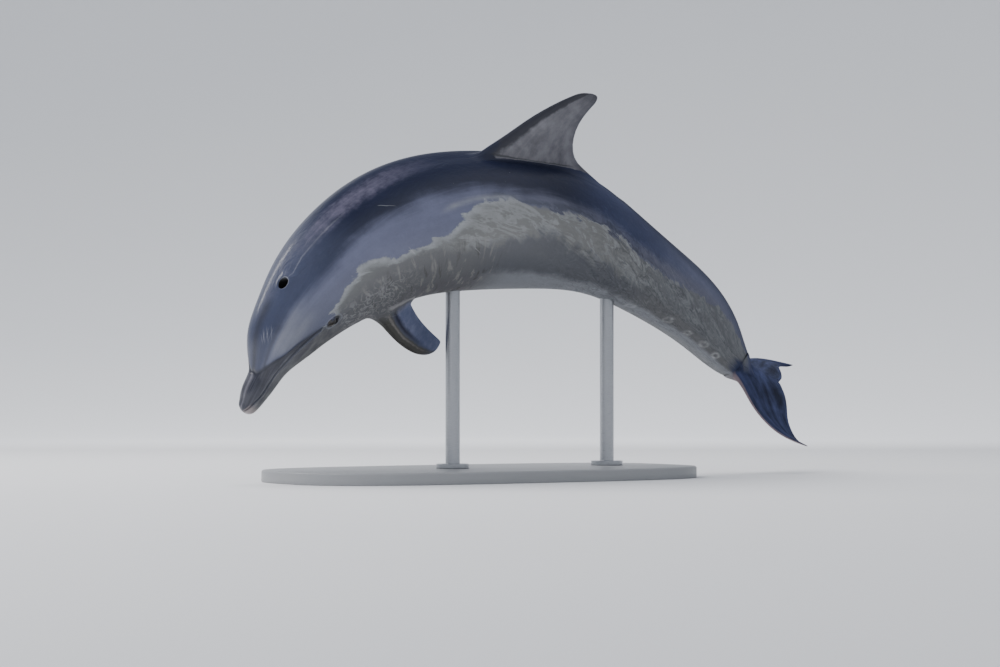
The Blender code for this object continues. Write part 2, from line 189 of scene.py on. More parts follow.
# ------------------------------------------------------------ curves and frames
def curve(knots, t):
    """Natural cubic through (place, value) pairs."""
    x, y = (np.array(column, float) for column in zip(*knots))
    h = np.diff(x)
    lhs = np.eye(len(x))
    rhs = np.zeros(len(x))
    for i in range(1, len(x) - 1):
        lhs[i, i - 1:i + 2] = h[i - 1], 2 * (h[i - 1] + h[i]), h[i]
        rhs[i] = 6 * ((y[i + 1] - y[i]) / h[i] - (y[i] - y[i - 1]) / h[i - 1])
    m = np.linalg.solve(lhs, rhs)
    t = np.clip(np.asarray(t, float), x[0], x[-1])
    k = np.clip(np.searchsorted(x, t) - 1, 0, len(h) - 1)
    a = (x[k + 1] - t) / h[k]
    b = (t - x[k]) / h[k]
    return a * y[k] + b * y[k + 1] + ((a**3 - a) * m[k] + (b**3 - b) * m[k + 1]) * h[k]**2 / 6


def turn(axis, degrees):
    """Rotation matrices about x, y or z."""
    angle = np.radians(np.asarray(degrees, float))
    c, s, one, nil = np.cos(angle), np.sin(angle), np.ones_like(angle), np.zeros_like(angle)
    rows = {"x": ((one, nil, nil), (nil, c, -s), (nil, s, c)),
            "y": ((c, nil, s), (nil, one, nil), (-s, nil, c)),
            "z": ((c, -s, nil), (s, c, nil), (nil, nil, one))}[axis]
    return np.moveaxis(np.array(rows), [0, 1], [-2, -1])


def body_frame(t):
    """Columns: forward, left, up of the body at t."""
    level = np.array(((-1, 0, 0), (0, -1, 0), (0, 0, 1.0))).T
    local = turn("y", curve(ARCH, t)) @ turn("z", curve(BEND, t)) @ turn("x", -curve(ROLL, t))
    return turn("z", HEADING) @ turn("x", TILT) @ level @ local


def body_axis(t):
    """The centre line: the forward direction summed up from station HELD_AT."""
    fine = np.linspace(0, 1, 801)
    forward = body_frame(fine)[:, :, 0]
    steps = -(forward[1:] + forward[:-1]) / 2 * LENGTH / 800
    line = np.vstack((np.zeros(3), np.cumsum(steps, axis=0)))
    line += np.array(STANCE) - [np.interp(HELD_AT, fine, line[:, k]) for k in range(3)]
    return np.stack([np.interp(t, fine, line[:, k]) for k in range(3)], -1)


def loft_radius(table, t, a):
    """Distance from the axis to an ellipse whose top, bottom and width follow the table.

    The columns are drawn against the root of the distance from the loft's tip, so the tip is round.
    """
    stations = np.array(table)
    start = stations[0, 0]
    place = np.sqrt(np.clip(t - start, 0, None))
    knots = np.sqrt(stations[:, 0] - start)
    top, low, wide = (curve(tuple(zip(knots, stations[:, k])), place) for k in (1, 2, 3))
    wide = np.maximum(wide, 1e-6)
    high = np.maximum((top - low) / 2, 1e-6)
    mid = (top + low) / 2
    c, s = np.cos(a), np.sin(a)
    qa = (c / wide)**2 + (s / high)**2
    qb = -2 * mid * s / high**2
    qc = (mid / high)**2 - 1
    disc = qb * qb - 4 * qa * qc
    reach = np.where(disc > 0, (np.sqrt(np.maximum(disc, 0)) - qb) / (2 * qa), 0)
    inside = (t > start) & (t <= stations[-1, 0] + 1e-9)
    return np.where(inside, np.maximum(reach, 0), 0) * LENGTH


def body_radius(t, a):
    """Trunk and beak lofts joined by a soft maximum, plus the tail stock's keels."""
    t, a = np.broadcast_arrays(np.asarray(t, float), np.asarray(a, float))
    trunk = loft_radius(TRUNK, t, a)
    beak = loft_radius(BEAK, t, a)
    soft = SOFT_JOIN * np.clip((t - 0.002) / 0.03, 0, 1) * np.clip((0.20 - t) / 0.05, 0, 1)
    joined = (trunk + beak + np.sqrt((trunk - beak)**2 + soft**2)) / 2
    radius = np.where(beak > 0, joined, trunk)
    ridge = np.exp(-(np.cos(a) / KEEL_WIDTH)**2) * curve(KEEL, t) * LENGTH
    return radius + ridge


def body_point(t, a, extra=0.0):
    """A point of the skin; extra moves it outwards from the axis."""
    t, a = np.broadcast_arrays(np.asarray(t, float), np.asarray(a, float))
    frame = body_frame(t)
    reach = body_radius(t, a) + extra
    side = (reach * np.cos(a))[..., None] * frame[..., :, 1]
    return body_axis(t) + side + (reach * np.sin(a))[..., None] * frame[..., :, 2]


def fin_point(table, frame, origin, v, p):
    """Fin skin.  v: 0 at the root to 1 at the tip.  p: 0 leading edge, 180 trailing edge.

    frame's columns are the chord, span and lift directions.  Across the chord the
    thickness is that of a common aerofoil, with a thin round trailing edge.
    """
    v, p = np.broadcast_arrays(np.asarray(v, float), np.asarray(p, float))
    rows = np.array(table)
    places = np.linspace(0, 1, len(rows))
    span, lead, trail, up_lead, up_trail, thick = (
        curve(tuple(zip(places, rows[:, k])), v) * LENGTH for k in range(6))
    c = (1 - np.cos(p)) / 2
    root = np.sqrt(c)
    foil = 2.969 * root - 1.26 * c - 3.516 * c**2 + 2.843 * c**3 - 1.036 * c**4
    chord = trail - lead
    rim = np.minimum(FIN_EDGE, chord / 3) * np.abs(np.sin(p)) ** 0.7
    half = np.maximum(thick, 0) / 2 * foil + rim
    x = lead + chord * c
    z = up_lead + (up_trail - up_lead) * c + np.where(np.sin(p) >= 0, half, -half)
    parts = np.stack((x, span, z), -1)
    return origin + parts @ frame.T


def mirrored(angle, side):
    """The angle itself on the left, where side is 1, and its mirror on the right, where it is -1."""
    return angle if side > 0 else np.pi - angle


def fin_places():
    """Name: (table, frame, origin) for the five fins."""
    places = {}
    forward, left, up = body_frame(0.455).T
    places["dorsal_fin"] = (DORSAL_FIN, np.stack((-forward, up, left), 1),
                            body_point(0.407, np.pi / 2) - up * 0.004)
    roll, pitch, yaw = FLUKE_SET
    forward, left, up = (body_frame(0.940) @ turn("x", roll) @ turn("y", pitch) @ turn("z", yaw)).T
    tail = body_axis(0.955) + (up * FLUKE_RAISED + forward * 0.0026) * LENGTH
    places["fluke_left"] = (FLUKE, np.stack((-forward, left, up), 1), tail)
    places["fluke_right"] = (FLUKE, np.stack((-forward, -left, up), 1), tail)
    for name, side, *angles in FLIPPERS:
        forward, left, up = body_frame(0.205).T
        sweep, droop, pitch = np.radians(angles)
        out = np.cos(droop) * side * left - np.sin(droop) * up
        flat = np.sin(droop) * side * left + np.cos(droop) * up
        span = np.cos(sweep) * out - np.sin(sweep) * forward
        chord = -np.cos(sweep) * forward - np.sin(sweep) * out
        chord, flat = (np.cos(pitch) * chord + np.sin(pitch) * flat,
                       np.cos(pitch) * flat - np.sin(pitch) * chord)
        root = body_point(FLIPPER_ROOT_AT, mirrored(np.radians(FLIPPER_ROOT_ANGLE), side))
        places[name] = (FLIPPER, np.stack((chord, span, flat), 1), root)
    return places


# ------------------------------------------------------------ mesh helpers
def new_piece(name, points, faces, finish, replaced=()):
    """A finished piece: its place is in its mesh, it rides on the model's one body."""
    mesh = bpy.data.meshes.new(name)
    mesh.from_pydata(points.tolist(), [], faces)
    mesh.validate()
    mesh.shade_smooth()
    mesh.materials.append(finish)
    piece = bpy.data.objects.new(name, mesh)
    bpy.context.scene.collection.objects.link(piece)
    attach(piece, "root")
    if replaced:
        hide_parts(*replaced)
    return piece


def store(piece, name, numbers):
    """Keeps a number for each vertex on the mesh, for the material to read."""
    layer = piece.data.attributes.new(name, "FLOAT", "POINT")
    layer.data.foreach_set("value", numbers.astype(np.float32))


def grid_faces(rows, around):
    """Quads between neighbouring rings of a closed grid numbered row by row."""
    i = np.arange(rows - 1)[:, None]
    j = np.arange(around)[None]
    a = i * around + j
    b = i * around + (j + 1) % around
    return np.stack((a, b, b + around, a + around), -1).reshape(-1, 4)


def fan(ring, middle, backwards=False):
    """Triangles from a ring of vertices to the one in its middle."""
    after = np.roll(ring, -1)
    a, b = (after, ring) if backwards else (ring, after)
    return np.stack((a, b, np.full(len(ring), middle)), -1)


def closed_rings(rings, ends):
    """Points and faces of rings (rows x turns x 3), closed by a fan over each of the two ends."""
    rows, turns = rings.shape[:2]
    count = rows * turns
    first = np.arange(turns)
    faces = grid_faces(rows, turns).tolist() + fan(first, count, True).tolist()
    faces += fan(count - turns + first, count + 1).tolist()
    return np.vstack((rings.reshape(-1, 3), ends)), faces


def smoothstep(low, high, x):
    """0 below low, 1 above high, an S between."""
    k = np.clip((x - low) / (high - low), 0, 1)
    return k * k * (3 - 2 * k)


def between(x, rise, full, fade, end):
    """1 from full to fade, running down to 0 at rise and at end."""
    return smoothstep(rise, full, x) * (1 - smoothstep(fade, end, x))


def bell(x, width):
    """1 at zero, falling to nothing in about two widths."""
    return np.exp(-(x / width) ** 2)


# ------------------------------------------------------------ skin: body grid
LINES = 180          # grid lines round the body
RINGS = np.concatenate((
    0.0004 + 0.0196 * np.linspace(0, 1, 25)[:-1] ** 1.6,
    np.linspace(0.020, 0.124, 84)[:-1],
    np.linspace(0.124, 0.158, 38)[:-1],
    np.linspace(0.158, 0.262, 46)[:-1],
    np.linspace(0.262, 0.830, 132)[:-1],
    np.linspace(0.830, 0.9568, 58)))
SPOKES = np.linspace(0, 2 * np.pi, LINES, endpoint=False)
BACK = np.pi / 2
BELLY = -np.pi / 2

# crease between melon and beak, carried on as a dark line to the eye:
# degrees from the middle of the back, station
CREASE = ((0, 0.0485), (12, 0.0470), (22, 0.0490), (36, 0.0560), (44, 0.0610), (52, 0.0675),
          (62, 0.0755), (72, 0.0920), (80, 0.1060), (86, 0.1180), (92, 0.1300))
EAR_AT = 0.159
EAR_ANGLE = -9.0
EAR_SQUEEZE = 0.35   # width of the ear's slit over its length
NECK_CREASES = ((0.186, 0.0014), (0.199, 0.0010), (0.176, 0.0007))     # station, depth in metres
THROAT_GROOVE = 0.45     # radians from the middle of the belly
NAVEL_AT = 0.47
SLIT_FROM, SLIT_TO = 0.600, 0.652
VENT_AT = 0.688
BACK_MUSCLE = 0.34       # radians from the middle of the back


def grid_angles(t):
    """Angles of the grid lines: line 0 follows the left lip, its mirror the right lip.

    On the head the lines are drawn together near the lips and the eyes.
    """
    lip = np.radians(curve(MOUTH, np.minimum(t, GAPE_AT))) * (1 - smoothstep(0.14, 0.22, t))
    gather = 0.42 * (1 - smoothstep(0.17, 0.30, t))
    return SPOKES + lip * np.cos(SPOKES) - gather / 2 * np.sin(2 * SPOKES)


def apart(a, b):
    """Signed difference of two angles."""
    return (a - b + np.pi) % (2 * np.pi) - np.pi


def crease_gap(t, low):
    """Metres along the body from the crease that runs from the melon's foot to the eye."""
    return (t - curve(CREASE, np.minimum(low, 92))) * LENGTH


def relief(t, a):
    """Carving of the skin in metres, outwards: lips, creases, folds and slits."""
    reach = body_radius(t, a)
    carved = np.zeros(np.broadcast(t, a).shape)
    lip = np.radians(curve(MOUTH, np.minimum(t, GAPE_AT)))
    fold = 1 - smoothstep(GAPE_AT - 0.004, GAPE_AT + 0.010, t)
    inner = np.minimum(t / 0.004, 1)
    for side in (1, -1):
        line = mirrored(lip, side)
        away = apart(a, line) * reach * side
        carved += fold * inner * (-0.0034 * bell(away, 0.0016) + 0.0011 * bell(away - 0.0065, 0.0045)
                                  + 0.0011 * bell(away + 0.0065, 0.0045))
        # soft fold that carries the line of the mouth on below the eye
        after = between(t, GAPE_AT, GAPE_AT + 0.012, 0.150, 0.175)
        droop = line - side * np.radians(5 + 260 * (t - GAPE_AT))
        away = apart(a, droop) * reach
        carved += -0.0016 * after * bell(away, 0.005)
        # ear: a short slit behind the eye
        across = apart(a, mirrored(np.radians(EAR_ANGLE), side)) * reach
        ear = np.hypot((t - EAR_AT) * LENGTH * EAR_SQUEEZE, across)
        carved += -0.0022 * bell(ear, 0.0035)
    # crease between melon and beak
    low = np.degrees(np.abs(apart(a, BACK)))
    carved += -0.0034 * bell(crease_gap(t, low), 0.0060) * (1 - smoothstep(56, 84, low))
    # shallow creases of the neck, strongest low on the sides
    flank = bell(np.sin(a) + 0.35, 0.55)
    for place, deep in NECK_CREASES:
        sway = place + 0.006 * np.sin(2 * a) + 0.004 * np.cos(a)
        carved += -deep * flank * bell((t - sway) * LENGTH, 0.007)
    # throat grooves under the jaw
    for out in (-THROAT_GROOVE, THROAT_GROOVE):
        away = apart(a, BELLY + out) * reach
        carved += -0.0012 * bell(away, 0.006) * between(t, 0.05, 0.08, 0.13, 0.17)
    # belly: navel, long slit and vent
    middle = apart(a, BELLY) * reach
    carved += -0.0050 * bell(middle, 0.006) * bell((t - NAVEL_AT) * LENGTH, 0.011)
    carved += -0.0042 * bell(middle, 0.0035) * between(t, SLIT_FROM, SLIT_FROM + 0.012,
                                                       SLIT_TO - 0.012, SLIT_TO)
    folds = bell(middle - 0.013, 0.008) + bell(middle + 0.013, 0.008)
    carved += 0.0022 * folds * between(t, SLIT_FROM - 0.002, SLIT_FROM + 0.015,
                                       SLIT_TO - 0.015, SLIT_TO + 0.004)
    carved += -0.0036 * bell(middle, 0.004) * bell((t - VENT_AT) * LENGTH, 0.012)
    # long muscles of the back stand a little either side of the midline
    for out in (-BACK_MUSCLE, BACK_MUSCLE):
        away = apart(a, BACK + out)
        carved += 0.0022 * bell(away, 0.22) * between(t, 0.20, 0.34, 0.80, 0.90)
    carved += -0.0018 * bell(apart(a, BACK), 0.10) * between(t, 0.17, 0.30, 0.37, 0.41)
    return carved


class Skin:
    """Vertices, faces and per-vertex values of the one skin, built grid by grid."""

    NAMES = ("along", "low", "side", "span", "chord", "upper", "dorsal", "flipper", "fluke", "socket",
             "pale_lip")

    def __init__(self):
        self.angles = np.array([grid_angles(t) for t in RINGS])
        self.t = np.repeat(RINGS[:, None], LINES, 1)
        self.points = body_point(self.t, self.angles, relief(self.t, self.angles)).reshape(-1, 3)
        self.values = {name: np.zeros(len(self.points)) for name in self.NAMES}
        self.values["along"] = self.t.ravel().copy()
        self.values["low"] = np.degrees(np.abs(apart(self.angles, BACK))).ravel()
        self.values["side"] = np.cos(self.angles).ravel()
        self.keep = np.ones((len(RINGS) - 1, LINES), bool)
        self.faces = []
        self.soft = np.zeros(len(self.points))

    def window(self, t0, t1, a0, a1):
        """Opens a rectangular window in the grid and returns its rim, in order round it."""
        i0, i1 = np.searchsorted(RINGS, (t0, t1))
        middle = (i0 + i1) // 2
        turned = apart(self.angles[middle], (a0 + a1) / 2)
        order = np.argsort(turned)
        inside = order[(turned[order] >= (a0 - a1) / 2) & (turned[order] <= (a1 - a0) / 2)]
        j0, wide = inside[0], len(inside) - 1
        columns = (j0 + np.arange(wide + 1)) % LINES
        self.keep[np.ix_(range(i0, i1), columns[:-1])] = False
        rim = [(i0, c) for c in columns] + [(i, columns[-1]) for i in range(i0 + 1, i1)]
        rim += [(i1, c) for c in columns[::-1]] + [(i, columns[0]) for i in range(i1 - 1, i0, -1)]
        rim = np.array(rim)
        for reach, weight in ((1, 0.8), (2, 0.5), (3, 0.25)):
            rows = np.clip(np.arange(i0 - reach, i1 + reach + 1), 0, len(RINGS) - 1)
            cols = np.arange(j0 - reach, j0 + wide + reach + 1) % LINES
            block = (rows[:, None] * LINES + cols[None]).ravel()
            self.soft[block] = np.maximum(self.soft[block], weight)
        return rim[:, 0] * LINES + rim[:, 1]

    def add_rings(self, rim, rings, soft, **values):
        """Joins rings (rows x rim x 3) to a window's rim and closes the last with a fan."""
        rows, count = rings.shape[:2]
        start = len(self.points)
        self.points = np.vstack((self.points, rings.reshape(-1, 3), rings[-1].mean(0)[None]))
        index = np.vstack((rim, start + np.arange(rows * count).reshape(rows, count)))
        a, b = index[:-1], np.roll(index, -1, 1)[:-1]
        c, d = np.roll(index, -1, 1)[1:], index[1:]
        self.faces.append(np.stack((a, b, c, d), -1).reshape(-1, 4))
        self.faces.append(fan(index[-1], start + rows * count))
        for name in self.NAMES:
            given = values.get(name)
            if given is None:
                given = np.broadcast_to(self.values[name][rim], (rows, count))
            given = np.broadcast_to(given, (rows, count))
            self.values[name] = np.concatenate((self.values[name], given.ravel(), [given[-1].mean()]))
        soft = np.broadcast_to(np.asarray(soft, float)[:, None], (rows, count))
        self.soft = np.concatenate((self.soft, soft.ravel(), [0]))

    def close(self):
        """Adds the body grid's remaining faces and the fans over the beak tip and the notch."""
        body = grid_faces(len(RINGS), LINES).reshape(len(RINGS) - 1, LINES, 4)[self.keep]
        ends = len(self.points)
        last = (len(RINGS) - 1) * LINES
        first_ring, last_ring = np.arange(LINES), last + np.arange(LINES)
        middles = [self.points[ring].mean(0) for ring in (first_ring, last_ring)]
        self.points = np.vstack((self.points, *middles))
        for name in self.NAMES:
            both = [self.values[name][ring].mean() for ring in (first_ring, last_ring)]
            self.values[name] = np.concatenate((self.values[name], both))
        self.soft = np.concatenate((self.soft, [0, 0]))
        self.faces += [body, fan(first_ring, ends, True), fan(last_ring, ends + 1)]

    def smooth(self, turns):
        """Moves each soft vertex part of the way to the mean of its neighbours, turns times."""
        pairs = np.vstack([np.stack((f, np.roll(f, -1, 1)), -1).reshape(-1, 2) for f in self.faces])
        pairs = np.unique(np.sort(pairs, 1), axis=0)
        one = np.concatenate((pairs[:, 0], pairs[:, 1]))
        two = np.concatenate((pairs[:, 1], pairs[:, 0]))
        count = np.maximum(np.bincount(one, minlength=len(self.points)), 1)[:, None]
        for _ in range(turns):
            mean = np.stack([np.bincount(one, self.points[two, k], len(self.points))
                             for k in range(3)], 1) / count
            self.points += (mean - self.points) * (self.soft * 0.6)[:, None]


def body_place(points):
    """Station, angle and height above the skin of points near the body."""
    t = np.linspace(0, TAIL_END, 600)
    line = body_axis(t)
    flat = points.reshape(-1, 3)
    near = np.argmin(((flat[:, None] - line[None]) ** 2).sum(-1), 1)
    frames = body_frame(t)[near]
    gap = flat - line[near]
    left = (gap * frames[:, :, 1]).sum(-1)
    up = (gap * frames[:, :, 2]).sum(-1)
    a = np.arctan2(up, left)
    height = np.hypot(left, up) - body_radius(t[near], a)
    shape = points.shape[:-1]
    return t[near].reshape(shape), a.reshape(shape), height.reshape(shape)


def hermite(p0, d0, p1, d1, s):
    """Cubic from p0 with slope d0 to p1 with slope d1."""
    s = s[:, None, None]
    return ((2 * s**3 - 3 * s**2 + 1) * p0 + (s**3 - 2 * s**2 + s) * d0
            + (3 * s**2 - 2 * s**3) * p1 + (s**3 - s**2) * d1)


def fin_window(skin, fin, first, flare):
    """Opens a window round the place where a fin's surface meets the body, flare wider all round."""
    v = np.linspace(0, max(first * 1.6, 0.25), 30)[:, None]
    p = np.linspace(0, 2 * np.pi, 60, endpoint=False)
    t, a, height = body_place(fin_point(*fin, v, p))
    meets = np.abs(height) < 0.006
    centre = np.arctan2(np.sin(a[meets]).mean(), np.cos(a[meets]).mean())
    turned = apart(a[meets], centre)
    mid_t = (t[meets].min() + t[meets].max()) / 2
    reach = float(body_radius(mid_t, centre))
    t0, t1 = t[meets].min() - flare / LENGTH, min(t[meets].max() + flare / LENGTH, 0.9525)
    a0, a1 = centre + turned.min() - flare / reach, centre + turned.max() + flare / reach
    return skin.window(t0, t1, a0, a1)


def rim_sections(points, fin, first, flare):
    """The angle round the fin's section at which each point of a window's rim belongs.

    It is the point's own direction from the middle of the section, with the spacing evened a little.
    """
    table, axes, origin = fin
    ring = (points - origin) @ axes
    lead = fin_point(*fin, first, 0.0)
    trail = fin_point(*fin, first, np.pi)
    lead_x, trail_x = ((lead - origin) @ axes)[0], ((trail - origin) @ axes)[0]
    half = (trail_x - lead_x) / 2
    x = (ring[:, 0] - (lead_x + trail_x) / 2) / (half + flare * 0.9)
    thick = curve(tuple(zip(np.linspace(0, 1, len(table)), np.array(table)[:, 5])), first) * LENGTH / 2
    z = (ring[:, 2] - ring[:, 2].mean()) / (thick + flare * 0.9)
    section = np.unwrap(np.arctan2(z, -x))
    # even the spacing round the section a little
    way = -1 if section[-1] < section[0] else 1
    steady = section[0] + way * np.arange(len(points)) * 2 * np.pi / len(points)
    return 0.55 * section + 0.45 * steady


def along_skin(rim, points, span):
    """Unit directions of span, laid flat on the body's skin at the points of a rim."""
    rows_on = rim // LINES
    normal = points - body_axis(RINGS[rows_on])
    forward = body_frame(RINGS[rows_on])[:, :, 0]
    normal -= (normal * forward).sum(1, keepdims=True) * forward
    normal /= np.linalg.norm(normal, axis=1, keepdims=True)
    along = span - (span * normal).sum(1, keepdims=True) * normal
    return along / np.linalg.norm(along, axis=1, keepdims=True)


def grow_fin(skin, name, first, flare, rows=24, blend=9):
    """A fin grown out of a window in the body.

    Cubic fillets run from the window's rim to the fin's ring at v = first, and the fin's own
    rings go on to the tip.
    """
    fin = fin_places()[name]
    rim = fin_window(skin, fin, first, flare)
    rim_points = skin.points[rim]
    section = rim_sections(rim_points, fin, first, flare)
    first_ring = fin_point(*fin, first, section)
    rise = fin_point(*fin, first + 0.02, section) - first_ring
    rise /= np.linalg.norm(rise, axis=1, keepdims=True)
    span = first_ring - rim_points
    far = np.linalg.norm(span, axis=1, keepdims=True)
    along = along_skin(rim, rim_points, span)
    s = np.linspace(0, 1, blend + 2)[1:]
    fillet = hermite(rim_points, along * far * 0.9, first_ring, rise * far * 0.9, s)
    vs = 1 - (1 - first) * (1 - np.linspace(0, 1, rows + 1)[1:]) ** 1.35
    vs = np.minimum(vs, 0.996)
    blade = fin_point(*fin, vs[:, None], section)
    rings = np.concatenate((fillet, blade))
    out = np.concatenate((s * first, vs))[:, None]
    grown = np.concatenate((s, np.ones(rows)))[:, None]
    soft = np.concatenate((0.85 - 0.75 * s, np.zeros(rows)))
    kind = name.split("_")[0]
    chord = np.broadcast_to((1 - np.cos(section)) / 2, (len(rings), len(rim)))
    skin.add_rings(rim, rings, soft, span=out, chord=chord, upper=grown * np.sin(section), **{kind: grown})


def lens(angle, half_long, half_high):
    """Pointed oval of the eye opening."""
    c, s = np.cos(angle), np.sin(angle)
    x = half_long * np.sign(c) * np.abs(c) ** 0.85
    return np.stack((x, half_high * s * (0.75 + 0.25 * np.abs(s))), -1)


def eye_ball_height(x, y):
    """Height of the eyeball over the body surface at a place x, y from its middle."""
    return np.sqrt(np.maximum(EYE_RADIUS**2 - x**2 - y**2, 0)) - EYE_SUNK


def shape_eye(skin, side):
    """Lids: rings from a window's rim to the pointed oval opening, then in behind the eyeball.

    Each ring is the oval scaled by a factor, with a lift over the body; the lids ride on the ball.
    """
    angle = mirrored(np.radians(EYE_ANGLE), side)
    reach = float(body_radius(EYE_AT, angle))
    across = EYE_PATCH_HIGH / reach
    rim = skin.window(EYE_AT - EYE_PATCH, EYE_AT + EYE_PATCH, angle - across, angle + across)
    t, a = RINGS[rim // LINES], skin.angles.ravel()[rim]
    x = (t - EYE_AT) * LENGTH
    y = apart(a, angle) * reach * side
    turned = np.arctan2(y / EYE_PATCH_HIGH, x / EYE_PATCH_LONG)
    #        size, lift over the body, share of the lift taken from the ball
    steps = ((2.10, 0.0000, 0.00), (1.90, 0.0004, 0.05), (1.72, 0.0008, 0.15), (1.58, 0.0009, 0.30),
             (1.50, 0.0001, 0.40), (1.44, -0.0003, 0.50), (1.38, 0.0005, 0.60), (1.30, 0.0012, 0.75),
             (1.20, 0.0014, 0.90), (1.10, 0.0014, 1.00), (1.03, 0.0012, 1.00), (0.99, 0.0006, 1.00),
             (0.965, -0.0004, 1.00), (0.95, -0.0022, 1.00), (0.93, -0.0060, 1.00), (0.85, -0.0110, 1.00))
    rings, dark = [], []
    opening = lens(turned, EYE_LONG, EYE_HIGH)
    for size, lift, share in steps:
        place = opening * size
        outer = np.clip((size - 1.3) / 0.9, 0, 1)
        place = place * (1 - outer * 0.35) + np.stack((x, y), -1) * outer * 0.35
        ball = np.maximum(eye_ball_height(place[:, 0], place[:, 1]), -0.004)
        up = lift + share * ball
        tt = EYE_AT + place[:, 0] / LENGTH
        aa = angle + side * place[:, 1] / reach
        base = relief(tt, aa) * min(max((size - 1.3) / 0.8, 0), 1)
        rings.append(body_point(tt, aa, up + base))
        dark.append(np.full(len(rim), np.clip((2.0 - size) / 0.7, 0, 1)))
    skin.add_rings(rim, np.array(rings), np.zeros(len(steps)), socket=np.array(dark))


def shape_blowhole(skin):
    """A round hole with a low lip, its wall going in to a closed floor."""
    angle = np.radians(BLOWHOLE_ANGLE)
    reach = float(body_radius(BLOWHOLE_AT, angle))
    wide = 0.034 / reach
    rim = skin.window(BLOWHOLE_AT - 0.0130, BLOWHOLE_AT + 0.0125, angle - wide, angle + wide)
    t, a = RINGS[rim // LINES], skin.angles.ravel()[rim]
    x = (t - BLOWHOLE_AT) * LENGTH
    y = apart(a, angle) * reach
    turned = np.arctan2(y, x)
    steps = ((1.75, 0.0000), (1.55, 0.0006), (1.38, 0.0014), (1.24, 0.0022), (1.14, 0.0024), (1.06, 0.0018),
             (1.01, 0.0004), (0.985, -0.0020), (0.965, -0.0060), (0.93, -0.0120), (0.87, -0.0200),
             (0.76, -0.0280), (0.60, -0.0330), (0.30, -0.0345))
    rings, dark, pale = [], [], []
    for size, lift in steps:
        outer = np.clip((size - 1.1) / 0.8, 0, 1) ** 1.5
        px = BLOWHOLE_RADIUS * size * np.cos(turned) * 0.96 * (1 - outer) + x * 0.92 * outer
        py = BLOWHOLE_RADIUS * size * np.sin(turned) * 1.04 * (1 - outer) + y * 0.92 * outer
        deeper = lift + (0.0012 * np.cos(turned) if lift > 0 else 0)
        rings.append(body_point(BLOWHOLE_AT + px / LENGTH, angle + py / reach, deeper))
        # socket value 2 marks the blowhole's inside, painted near black as shade
        dark.append(np.full(len(rim), 2.0 if lift < -0.001 else 0.0))
        pale.append(bell(size - 1.03, 0.06) * (0.45 - 0.55 * np.sin(turned - 0.6)))
    skin.add_rings(rim, np.array(rings), np.zeros(len(steps)), socket=np.array(dark),
                   pale_lip=np.clip(pale, 0, 1))


# ------------------------------------------------------------ materials
class Wire:
    """One output of a material's node.  Arithmetic on wires and numbers adds maths nodes."""

    def __init__(self, finish, socket):
        self.finish, self.socket = finish, socket

    def maths(self, operation, *terms):
        """A maths node of the given kind, fed with wires or numbers."""
        return self.finish.node("ShaderNodeMath", {"operation": operation}, terms)

    def __add__(self, other):
        return self.maths("ADD", self, other)

    def __sub__(self, other):
        return self.maths("SUBTRACT", self, other)

    def __mul__(self, other):
        return self.maths("MULTIPLY", self, other)

    def __truediv__(self, other):
        return self.maths("DIVIDE", self, other)

    def __rsub__(self, other):
        return self.maths("SUBTRACT", other, self)

    def __rtruediv__(self, other):
        return self.maths("DIVIDE", other, self)

    def __abs__(self):
        return self.maths("ABSOLUTE", self)

    __radd__ = __add__
    __rmul__ = __mul__

    def most(self, other):
        """The larger of two."""
        return self.maths("MAXIMUM", self, other)

    def ramp(self, low, high, start=0.0, end=1.0):
        """A smooth step: start below low, end above high."""
        return self.finish.node("ShaderNodeMapRange", {"interpolation_type": "SMOOTHSTEP"},
                                (self, low, high, start, end))

    def bump_at(self, middle, width):
        """1 where the wire equals middle, smoothly down to 0 a width away."""
        return (abs(self - middle) / width).ramp(1.0, 0.0)

    def wave(self):
        """Sine of the wire in radians."""
        return self.maths("SINE", self)


def colour(code):
    """Linear colour of a six-figure web colour."""
    shares = np.array([int(code[k:k + 2], 16) / 255 for k in (0, 2, 4)])
    linear = np.where(shares <= 0.04045, shares / 12.92, ((shares + 0.055) / 1.055) ** 2.4)
    return (*(float(v) for v in linear), 1.0)


